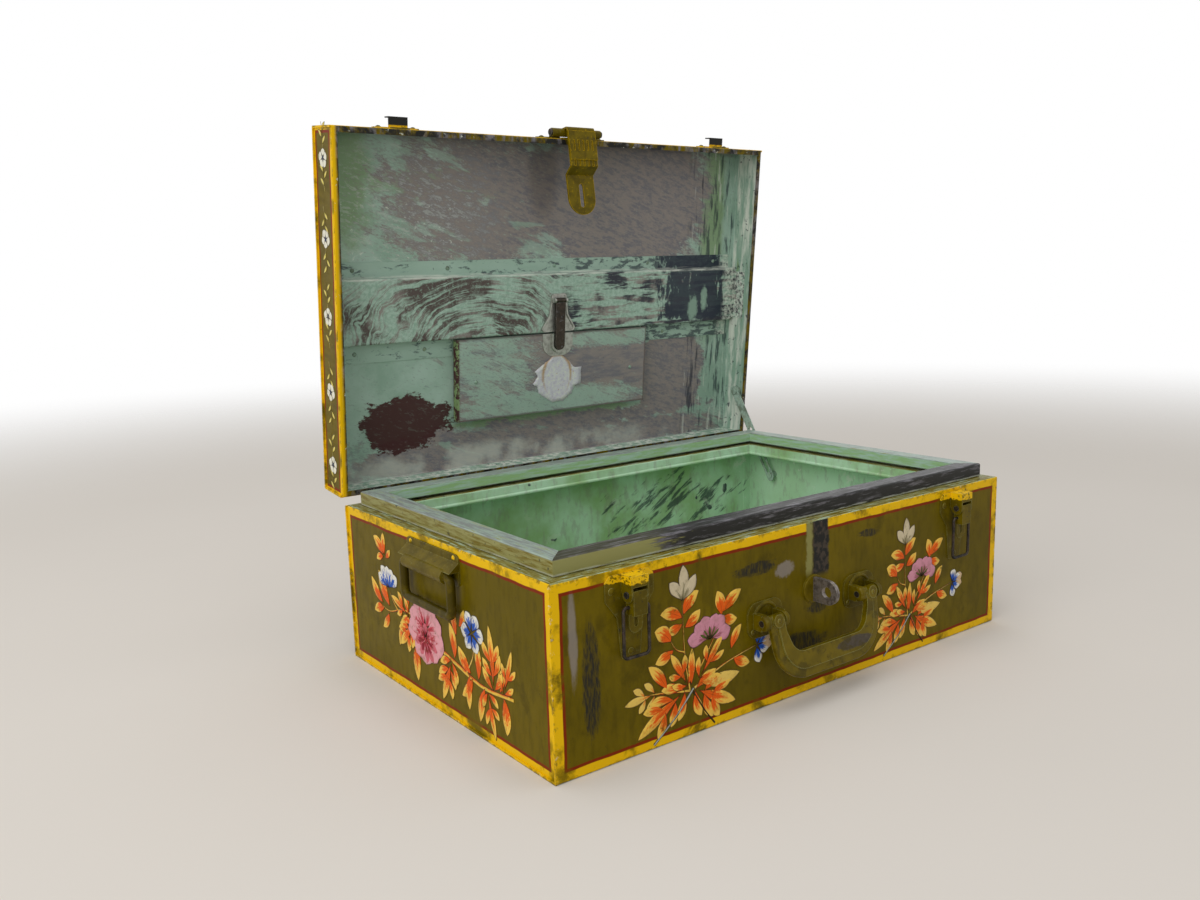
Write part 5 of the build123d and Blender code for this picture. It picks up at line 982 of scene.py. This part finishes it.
    def stem(self, points, width, colours=STEM, taper=0.6):
        """A stroke of nearly even width along a smooth line through the points."""
        spots = [Vector(p) for p in points]
        spots = [2 * spots[0] - spots[1]] + spots + [2 * spots[-1] - spots[-2]]
        line = []
        for i in range(1, len(spots) - 2):
            for step in range(self.STEM_STEPS):
                line.append(self.through(spots[i - 1:i + 3], step / self.STEM_STEPS))
        line.append(spots[-2])
        lefts, rights = [], []
        for i, spot in enumerate(line):
            ahead = line[min(i + 1, len(line) - 1)] - line[max(i - 1, 0)]
            half = width / 2 * (1 - taper * i / (len(line) - 1))
            lefts.append(spot - across_of(ahead) * half)
            rights.append(spot + across_of(ahead) * half)
        self.stroke(line, lefts, rights, colours, sideways=True)

    @staticmethod
    def through(four, t):
        """A point of the smooth curve between the middle two of four points."""
        a, b, c, d = four
        return (2 * b + (c - a) * t + (2 * a - 5 * b + 4 * c - d) * t * t
                + (3 * b - a - 3 * c + d) * t ** 3) / 2

    def flower(self, centre, radius, start, end, count, width, colours, seed):
        """Rounded petals about a point between two directions, in degrees from the right."""
        draw = random.Random(seed)
        centre = Vector(centre)
        for i in sorted(range(count), key=lambda i: abs(i - (count - 1) / 2), reverse=True):
            share = i / max(count - 1, 1)
            swing = draw.uniform(-self.PETAL_SWING, self.PETAL_SWING)
            angle = math.radians(start + (end - start) * share + swing)
            reach = radius * draw.uniform(*self.PETAL_LENGTHS)
            way = Vector((math.cos(angle), math.sin(angle)))
            self.leaf(
                centre + way * radius * self.PETAL_FOOT, centre + way * reach,
                width * draw.uniform(*self.PETAL_WIDTHS), colours,
                draw.uniform(-self.PETAL_BEND, self.PETAL_BEND), self.PETAL_FULL,
            )

    def piece(self, name, material):
        """The finished mesh object, carried by the body its face belongs to."""
        bmesh.ops.recalc_face_normals(self.mesh, faces=self.mesh.faces)
        made = mesh_object(name, self.mesh, material)
        if self.face.body:
            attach(made, self.face.body)
        return made


# The points of a bunch or a branch are millimetres across and up from its middle.
def spray(brush):
    """A bunch of leaves and flowers on crossed stems, as folk painters set at a trunk's ends."""
    brush.stem([(0, 2), (-4, 26), (-6, 66)], 2.2)
    brush.stem([(4, 3), (32, 13), (62, 19)], 2.6, PALE_LEAF)
    brush.stem([(0, 2), (-26, 7), (-42, 9)], 2.6)
    brush.stem([(-4, 30), (-12, 34), (-18, 44)], 2.0)
    brush.stem([(8, 14), (22, 34), (30, 48)], 2.0)
    for base, tip, width, bend in (
        ((-6, 54), (-25, 60), 10, 0.2), ((-6, 50), (-21, 47), 8, -0.15), ((-4, 47), (10, 57), 9, 0.15),
        ((-5, 56), (9, 70), 10, -0.2), ((29, 48), (25, 66), 10, 0.15), ((30, 50), (48, 63), 10, -0.1),
        ((29, 47), (44, 43), 9, 0.2), ((38, 22), (48, 38), 8, -0.15), ((40, 15), (56, 8), 9, 0.1),
        ((-16, 40), (-30, 50), 12, 0.2), ((-14, 34), (-30, 28), 9, -0.1),
    ):
        brush.leaf(base, tip, width, LEAF, bend)
    brush.frond((-30, 8), (-56, 6), 15, 2, PALE_LEAF)
    brush.leaf((-20, 8), (-36, 28), 9)
    brush.frond((-4, 4), (-46, -20), 22, 3)
    brush.frond((4, 2), (42, -16), 24, 3)
    brush.leaf((10, 5), (46, 4), 11, PALE_LEAF, 0.1)
    brush.stem([(2, 2), (12, -14), (22, -27)], 1.6, SHADOW, 0.2)
    brush.stem([(3, 3), (-12, -12), (-32, -27)], 2.2, SILVER, 0.1)
    brush.frond((8, 8), (32, 38), 15, 2)
    brush.frond((-2, 6), (-17, 32), 16, 2)
    brush.leaf((1, 6), (2, 32), 7, LEAF, 0.0)
    brush.flower((18, 34), 19, 10, 168, 6, 12, PINK, 5)
    brush.flower((18, 33), 10, 35, 150, 5, 3.4, SEPAL, 6)
    for tip in ((-17, 80), (6, 82), (-5, 90)):
        brush.leaf((-6, 66), tip, 9, BUD, 0.1, 1.3)
    brush.flower((62, 19), 13, -75, 75, 4, 9, BLUE, 8)
    brush.flower((66, 20), 12, -20, 24, 2, 8, CREAM, 9)


def garland(brush):
    """A long curving branch with a full rose, two blue flowers and leaves on both sides."""
    brush.stem([(8, -2), (42, -9), (78, -15), (116, -12)], 4.2, STEM, 0.25)
    brush.stem([(56, -11), (66, 4), (66, 18)], 2.4, PALE_LEAF)
    brush.stem([(-8, 6), (-34, 11), (-60, 4), (-76, 6)], 2.8)
    brush.stem([(-46, 8), (-54, 14), (-60, 22)], 2.2)
    for base, tip, width, bend in (
        ((100, -12), (108, 8), 9, -0.15), ((72, -12), (70, 16), 9, 0.1), ((62, -10), (46, 6), 11, -0.2),
        ((40, -6), (34, 20), 10, 0.15), ((48, 20), (56, 34), 8, 0.2), ((44, 12), (40, 34), 9, -0.1),
        ((104, -14), (106, -40), 11, -0.1), ((80, -15), (72, -42), 9, 0.1),
        ((64, -13), (48, -30), 9, -0.15), ((60, -12), (58, -38), 9, 0.1),
        ((-16, -8), (-18, -40), 12, 0.12), ((-34, 2), (-46, -20), 9, 0.15),
        ((-62, 2), (-74, -12), 8, -0.2), ((-70, 4), (-88, -2), 9, 0.15),
        ((-30, 10), (-38, 44), 13, 0.12), ((-60, 8), (-76, 34), 12, -0.1),
        ((-72, 8), (-90, 26), 10, -0.15), ((-66, 48), (-82, 60), 10, 0.15),
        ((-64, 48), (-64, 66), 8, -0.15), ((-66, 46), (-78, 42), 7, 0.2), ((-62, 46), (-54, 54), 6, 0.1),
    ):
        brush.leaf(base, tip, width, LEAF, bend)
    for base, tip, width, pairs in (
        ((92, -14), (88, 32), 19, 3), ((104, -12), (116, 22), 14, 2), ((84, -16), (92, -48), 16, 2),
        ((36, -8), (20, -42), 20, 3), ((-22, 2), (-44, -18), 20, 3), ((-28, 8), (-56, 18), 16, 2),
    ):
        brush.frond(base, tip, width, pairs)
    brush.flower((66, 20), 15, 0, 300, 6, 11, BLUE, 12)
    brush.flower((-60, 22), 19, 40, 150, 5, 11, BLUE, 18)
    brush.flower((-60, 22), 13, 60, 120, 3, 8, BLUE, 19)
    brush.flower((-2, 2), 27, 190, 350, 5, 21, ROSE, 21)
    brush.flower((-2, 4), 25, 20, 160, 4, 19, ROSE, 24)
    brush.flower((-2, -3), 17, 195, 345, 5, 12, DEEP_ROSE, 27)
    brush.flower((-2, -2), 11, 30, 150, 3, 9, DEEP_ROSE, 28)


# the piece's name, what is painted, the face, the place on it, the scale and the mirroring
PAINTINGS = (
    ("front_spray_left", spray, "front", (-120, 30), 1.0, 1),
    ("front_spray_right", spray, "front", (112, 30), 0.92, 1),
    ("back_spray_left", spray, "back", (-118, 30), 1.0, 1),
    ("back_spray_right", spray, "back", (118, 30), 1.0, -1),
    ("lid_top_spray_left", spray, "lid_top", (-120, -30), 1.35, 1),
    ("lid_top_spray_right", spray, "lid_top", (120, -30), 1.35, -1),
    ("end_garland_left", garland, "left", (-16, 52), 1.0, 1),
    ("end_garland_right", garland, "right", (16, 52), 1.0, -1),
)


# ---------------------------------------------------------------- sprigs along the lid's end walls
SPRIG_WOBBLE = 0.06


def sprig_source(material):
    """One small white flower with leaf strokes, lying flat, that the lid's walls repeat."""
    brush = Brush("sheet")
    brush.stem([(-25, -1), (-15, 1.2), (-7, 0)], 1.4, SPRIG_GREEN)
    brush.stem([(7, 0), (16, -1.2), (27, 1)], 1.4, SPRIG_GREEN)
    for x, side in ((-21, 1), (-16, -1), (-11, 1), (10, -1), (15, 1), (20, -1)):
        brush.leaf((x, 0), (x + 6.5, side * 6.5), 3.4, SPRIG_GREEN, 0.1 * side)
    brush.flower((0, 0), 8.0, 0, 288, 5, 7.6, SPRIG_WHITE, 31)
    brush.leaf((-2.4, 0), (2.4, 0.1), 4.4, SPRIG_EYE, 0.0, 1.0)
    return brush.piece("sprig_source", material)


def sprig_tree():
    """Repeats a sprig along a line, every other one turned about, each a little out of true."""
    tree = bpy.data.node_groups.new("Row of sprigs", "GeometryNodeTree")
    tree.is_modifier = True
    new_socket = tree.interface.new_socket
    new_socket(name="Geometry", in_out="OUTPUT", socket_type="NodeSocketGeometry")
    for label, kind, value in (
        ("Sprig", "Object", None), ("Paint", "Material", None), ("Count", "Int", 5),
        ("Pitch", "Float", 0.06), ("Seed", "Int", 3),
    ):
        socket = new_socket(name=label, in_out="INPUT", socket_type="NodeSocket" + kind)
        if value is not None:
            socket.default_value = value
    s = Shader(tree)
    given = tree.nodes.new("NodeGroupInput").outputs
    object_in, paint_in, count, pitch, seed = [Value(s, socket) for socket in given][:5]
    line = s.add("GeometryNodeMeshLine", {
        "Count": count, "Start Location": s.joined((count - 1.0) * pitch * -0.5, 0.0, 0.0),
        "Offset": s.joined(pitch, 0.0, 0.0),
    })
    sprig = s.add("GeometryNodeObjectInfo", {"Object": object_in}, "Geometry")
    half_turn = s.math("MODULO", s.add("GeometryNodeInputIndex"), 2.0) * math.pi
    inputs = {2: -SPRIG_WOBBLE, 3: SPRIG_WOBBLE, "Seed": seed}
    wobble = s.add("FunctionNodeRandomValue", inputs, 1, data_type="FLOAT")
    turn = s.joined(0.0, 0.0, half_turn + wobble)
    inputs = {"Points": line, "Instance": sprig, "Rotation": turn}
    plain = s.add("GeometryNodeRealizeInstances", {0: s.add("GeometryNodeInstanceOnPoints", inputs)})
    s.end("NodeGroupOutput", s.add("GeometryNodeSetMaterial", {"Geometry": plain, "Material": paint_in}))
    return tree


def sprig_row(name, face, sprig, material, seed):
    """A row of sprigs along the middle of one end wall of the lid, as a plain mesh."""
    sizes = bpy.context.scene.trunk_sizes
    carrier = placed(name + "_carrier", bpy.data.meshes.new(name + "_carrier"))
    modifier = carrier.modifiers.new("Row", "NODES")
    modifier.node_group = bpy.data.node_groups.get("Row of sprigs") or sprig_tree()
    values = {
        "Sprig": sprig, "Paint": material, "Count": sizes.sprig_count,
        "Pitch": sizes.sprig_pitch, "Seed": seed,
    }
    for item in modifier.node_group.interface.items_tree:
        if item.item_type == "SOCKET" and item.in_out == "INPUT":
            modifier[item.identifier] = values[item.name]
    carrier.update_tag()
    bpy.context.view_layer.update()
    shaped = carrier.evaluated_get(bpy.context.evaluated_depsgraph_get())
    data = bpy.data.meshes.new_from_object(shaped)
    data.name = name
    bpy.data.objects.remove(carrier)
    middle = face.origin + face.up * LID_MIDDLE * MM
    basis = Matrix((face.across, face.up, face.out)).transposed().to_4x4()
    data.transform(face.carry @ Matrix.Translation(middle) @ basis)
    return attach(placed(name, data), face.body)


# ---------------------------------------------------------------- the paper remnant
PAPER_CENTRE = Vector((0.0, 70.0))
PAPER_CORNERS = (
    (-27, 4), (-22, -3), (-25, -8), (-16, -14), (-9, -18), (-2, -24), (8, -20), (14, -15),
    (19, -9), (28, -9), (28, 7), (20, 9), (17, 16), (8, 22), (-5, 23), (-14, 17), (-20, 13), (-22, 7),
)
PAPER_THICKNESS = 0.18
PAPER_RINGS = 6
PAPER_TEARS = 5
PAPER_RAGGED = 0.45
PAPER_SEED = 41
PAPER_WAVES, PAPER_WAVE_SHIFT = (0.35, 0.3), 1.0
PAPER_COCKLE, PAPER_SAG = 0.12, 0.02
PAPER_CURL, PAPER_CURL_POWER = 0.35, 6


def torn_outline():
    """The ragged edge of the paper, as points about its middle."""
    draw = random.Random(PAPER_SEED)
    outline = []
    for i, corner in enumerate(PAPER_CORNERS):
        ahead = PAPER_CORNERS[(i + 1) % len(PAPER_CORNERS)]
        for step in range(PAPER_TEARS):
            torn = [draw.uniform(-PAPER_RAGGED, PAPER_RAGGED) for _ in range(2)]
            outline.append(Vector(corner).lerp(Vector(ahead), step / PAPER_TEARS) + Vector(torn))
    return outline


def paper_remnant(material):
    """The torn, blank piece of paper left on the pocket door, slightly cockled."""
    outline = torn_outline()
    mesh = bmesh.new()

    def on_door(spot, rise):
        place = Vector((PAPER_CENTRE.x + spot.x, PAPER_CENTRE.y + spot.y, DOOR_LOW.z - rise))
        return mesh.verts.new(OPENING @ (place * MM))

    rims = []
    for thickness in (PAPER_THICKNESS, 0.0):
        rings = []
        for ring in range(1, PAPER_RINGS + 1):
            share = ring / PAPER_RINGS
            loop = []
            for spot in outline:
                inner = spot * share
                rise = thickness
                if thickness > 0:
                    wave = math.sin(inner.x * PAPER_WAVES[0] + PAPER_WAVE_SHIFT)
                    wave *= math.cos(inner.y * PAPER_WAVES[1])
                    cockled = max(PAPER_COCKLE * wave * share, -PAPER_SAG)
                    rise += cockled + PAPER_CURL * share ** PAPER_CURL_POWER
                loop.append(on_door(inner, rise))
            rings.append(loop)
        rims.append((on_door(Vector((0.0, 0.0)), thickness), rings))
    around = [(k, (k + 1) % len(outline)) for k in range(len(outline))]
    for hub, rings in rims:
        for k, after in around:
            mesh.faces.new((hub, rings[0][k], rings[0][after]))
            for inner, outer in zip(rings, rings[1:]):
                mesh.faces.new((inner[k], outer[k], outer[after], inner[after]))
    upper, lower = rims[0][1][-1], rims[1][1][-1]
    for k, after in around:
        mesh.faces.new((upper[k], lower[k], lower[after], upper[after]))
    bmesh.ops.recalc_face_normals(mesh, faces=mesh.faces)
    for face in mesh.faces:
        face.smooth = True
    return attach(mesh_object("paper_remnant", mesh, material), "pocket_door")


# ---------------------------------------------------------------- stage, in metres
CAMERA_PLACE = Vector((-0.56191, -0.64695, 0.31213))
CAMERA_AZIMUTH = math.radians(36.7036)
CAMERA_PITCH = math.radians(-9.8359)
CAMERA_ROLL = math.radians(-1.6531)
CAMERA_LENS, CAMERA_SENSOR, CAMERA_NEAR = 31.57, 36.0, 0.01
FLOOR_RADIUS, FLOOR_SIDES = 9.0, 96
FLOOR_FADES = (0.9, 2.6)
LIT_POINT = Vector((0.0, 0.0, 0.15))
LAMPS = (
    ("window_left", (-2.6, -1.0, 1.5), 2.6, 40.0, (1.0, 0.99, 0.97)),
    ("ceiling", (-0.3, -0.1, 2.8), 2.2, 22.0, (1.0, 1.0, 1.0)),
)
WORLD_STRENGTH = 0.5
SEEN_STRENGTH = 1.0


def photo_camera():
    """The camera where the photograph was taken from, with its small roll."""
    east, north = math.sin(CAMERA_AZIMUTH), math.cos(CAMERA_AZIMUTH)
    level = math.cos(CAMERA_PITCH)
    ahead = Vector((east * level, north * level, math.sin(CAMERA_PITCH)))
    right = Vector((north, -east, 0.0))
    top = right.cross(ahead)
    rolled_right = right * math.cos(CAMERA_ROLL) + top * math.sin(CAMERA_ROLL)
    rolled_top = top * math.cos(CAMERA_ROLL) - right * math.sin(CAMERA_ROLL)
    data = bpy.data.cameras.new("photo_camera")
    data.lens = CAMERA_LENS
    data.sensor_width = CAMERA_SENSOR
    data.clip_start = CAMERA_NEAR
    camera = placed("photo_camera", data)
    turn = Matrix((rolled_right, rolled_top, -ahead)).transposed().to_4x4()
    camera.matrix_world = Matrix.Translation(CAMERA_PLACE) @ turn
    bpy.context.scene.camera = camera


def floor_material():
    """A plain pale floor that fades away into the white surround far from the trunk."""
    s = new_material("pale_floor")
    point = s.object_place()
    far = point.by("LENGTH", output="Value").smooth(*FLOOR_FADES)
    tone = point.noise(3.0, 3.0).scale(0.0, 0.35)
    colour = tone.mix(screen(226, 220, 212), screen(216, 210, 202))
    surface = s.add("ShaderNodeBsdfDiffuse", {"Color": colour})
    clear = s.add("ShaderNodeBsdfTransparent")
    s.end("ShaderNodeOutputMaterial", s.add("ShaderNodeMixShader", {0: far, 1: surface, 2: clear}))
    return s.material


def soft_lamp(name, place, size, watts, colour):
    data = bpy.data.lights.new(name, "AREA")
    data.size = size
    data.energy = watts
    data.color = colour
    lamp = placed(name, data)
    lamp.location = place
    lamp.rotation_euler = (LIT_POINT - lamp.location).to_track_quat("-Z", "Y").to_euler()


def white_world():
    """Even soft light, and plain white for what the camera, metal and clear things see."""
    world = bpy.data.worlds.new("studio_white")
    world.use_nodes = True
    world.node_tree.nodes.clear()
    s = Shader(world.node_tree)
    path = world.node_tree.nodes.new("ShaderNodeLightPath").outputs
    camera, glossy, clear = [
        Value(s, path[f"Is {kind} Ray"]) for kind in ("Camera", "Glossy", "Transmission")
    ]
    strength = s.choose(camera | glossy | clear, WORLD_STRENGTH, SEEN_STRENGTH)
    inputs = {"Color": (1.0, 1.0, 1.0, 1.0), "Strength": strength}
    s.end("ShaderNodeOutputWorld", s.add("ShaderNodeBackground", inputs))
    bpy.context.scene.world = world


# ---------------------------------------------------------------- operators
YELLOW_BELOW_BAND = 2.0
YELLOW_ABOVE_RIM = 3.0


class TRUNK_OT_paint_sheet(bpy.types.Operator):
    """Paint the sheet of the box, the collar and the lid"""

    bl_idname = "trunk.paint_sheet"
    bl_label = "Paint box, collar and lid"

    def execute(self, context):
        dress(box_enamel(), "body_")
        dress(lid_enamel(), "lid_wrap", "lid_end_")
        dress(collar_enamel(), "collar_")
        return {"FINISHED"}


class TRUNK_OT_paint_pocket(bpy.types.Operator):
    """Paint the band, the pocket door and their small fittings inside the lid"""

    bl_idname = "trunk.paint_pocket"
    bl_label = "Paint pocket"

    def execute(self, context):
        dress(band_enamel(), "pocket_band")
        dress(door_enamel(), "pocket_door")
        green = fitting_enamel("rubbed_green", "mint", "zinc", True)
        dress(green, "band_rivets", "door_rivets", "pocket_hinge_leaves")
        clasp = bare_metal("clasp_steel", "bright_steel", "steel", "mint", 0.25, 0.4)
        dress(clasp, "clasp_plate", "clasp_pin", "door_catch", "pocket_hinge_pins")
        dress(bare_metal("tongue_steel", "steel", "soot", "zinc", 0.2, 0.6), "clasp_tongue")
        return {"FINISHED"}


class TRUNK_OT_paint_fittings(bpy.types.Operator):
    """Finish the latches, hasp, hinges, handles, stay and rivets"""

    bl_idname = "trunk.paint_fittings"
    bl_label = "Finish fittings"

    def execute(self, context):
        border_z = BOX_TOP - context.scene.trunk_sizes.band / MM - YELLOW_BELOW_BAND
        latch = fitting_enamel("latch_enamel", "olive", "cream", yellow_from=border_z)
        dress(latch, "latch_plate_", "latch_housing_", "box_rivets", "hinge_base_")
        olive = fitting_enamel("fitting_enamel", "olive", "cream")
        dress(olive, "latch_lever_", "front_handle_ear_", "end_handle_bracket_", "staple_disc")
        # The hasp's yellow edges are painted glints.
        hasp = fitting_enamel("hasp_enamel_with_glints", "olive_light", "yellow", rough=0.22)
        dress(hasp, "hasp_strap", "hasp_cover")
        catch_z = LID_LOW.z + YELLOW_ABOVE_RIM
        catch = fitting_enamel("catch_enamel", "olive", "cream", True, catch_z, dark_hook=True)
        dress(catch, "lid_catch_")
        plain = fitting_enamel("lid_fitting_enamel", "olive", "cream", True)
        dress(plain, "hasp_bracket", "lid_rivets", "hinge_lid_")
        dress(handle_enamel_with_highlights(), "front_handle", "front_handle_rivets")
        rods = fitting_enamel("rod_enamel", "olive_dark", "steel")
        dress(rods, "end_handle_left", "end_handle_right")
        dark = bare_metal("dark_steel", "steel", "soot", "maroon")
        dress(dark, "latch_bail_", "latch_pin_", "hasp_pin", "front_handle_pins", "hinge_pin_")
        dress(bare_metal("loop_steel", "taupe", "steel", "olive", 0.3, 0.8), "staple_loop")
        dress(fitting_enamel("stay_enamel", "mint_light", "steel"), "stay_")
        return {"FINISHED"}


class TRUNK_OT_paint_flowers(bpy.types.Operator):
    """Paint the flower sprays and end garlands in raised brush strokes"""

    bl_idname = "trunk.paint_flowers"
    bl_label = "Paint flowers"

    def execute(self, context):
        material = stroke_material()
        for name, strokes, *place in PAINTINGS:
            brush = Brush(*place)
            strokes(brush)
            brush.piece(name, material)
        sprig = sprig_source(material)
        sprig_row("lid_sprigs_left", FACES["lid_left"], sprig, material, 3)
        sprig_row("lid_sprigs_right", FACES["lid_right"], sprig, material, 8)
        bpy.data.objects.remove(sprig)
        return {"FINISHED"}


class TRUNK_OT_add_paper(bpy.types.Operator):
    """Add the torn blank paper on the pocket door"""

    bl_idname = "trunk.add_paper"
    bl_label = "Add paper remnant"

    def execute(self, context):
        paper_remnant(paper_material())
        return {"FINISHED"}


class TRUNK_OT_set_stage(bpy.types.Operator):
    """Set the floor, the lamps, the white surround and the camera"""

    bl_idname = "trunk.set_stage"
    bl_label = "Set stage"

    def execute(self, context):
        mesh = bmesh.new()
        bmesh.ops.create_circle(mesh, cap_ends=True, radius=FLOOR_RADIUS, segments=FLOOR_SIDES)
        floor = mesh_object("studio_floor", mesh, floor_material())
        for lamp in LAMPS:
            soft_lamp(*lamp)
        white_world()
        photo_camera()
        context.scene.view_settings.view_transform = "Standard"
        return {"FINISHED"}


class TRUNK_PT_panel(bpy.types.Panel):
    """The trunk's steps and settings"""

    bl_label = "Painted Tin Trunk"
    bl_idname = "TRUNK_PT_panel"
    bl_space_type = "VIEW_3D"
    bl_region_type = "UI"
    bl_category = "Trunk"

    def draw(self, context):
        for operator in OPERATORS:
            self.layout.operator(operator.bl_idname)
        for group in (context.scene.trunk_sizes, context.scene.trunk_paints):
            box = self.layout.box()
            for name in group.__annotations__:
                box.prop(group, name)


OPERATORS = (
    TRUNK_OT_paint_sheet,
    TRUNK_OT_paint_pocket,
    TRUNK_OT_paint_fittings,
    TRUNK_OT_paint_flowers,
    TRUNK_OT_add_paper,
    TRUNK_OT_set_stage,
)
CLASSES = (TrunkPaints, TrunkSizes, *OPERATORS, TRUNK_PT_panel)


def register():
    for item in CLASSES:
        bpy.utils.register_class(item)
    bpy.types.Scene.trunk_paints = PointerProperty(type=TrunkPaints)
    bpy.types.Scene.trunk_sizes = PointerProperty(type=TrunkSizes)


def unregister():
    del bpy.types.Scene.trunk_sizes
    del bpy.types.Scene.trunk_paints
    for item in reversed(CLASSES):
        bpy.utils.unregister_class(item)


def main():
    """Build the whole look."""
    register()
    bpy.ops.trunk.paint_sheet()
    bpy.ops.trunk.paint_pocket()
    bpy.ops.trunk.paint_fittings()
    bpy.ops.trunk.paint_flowers()
    bpy.ops.trunk.add_paper()
    bpy.ops.trunk.set_stage()


if __name__ == "__main__":
    main()
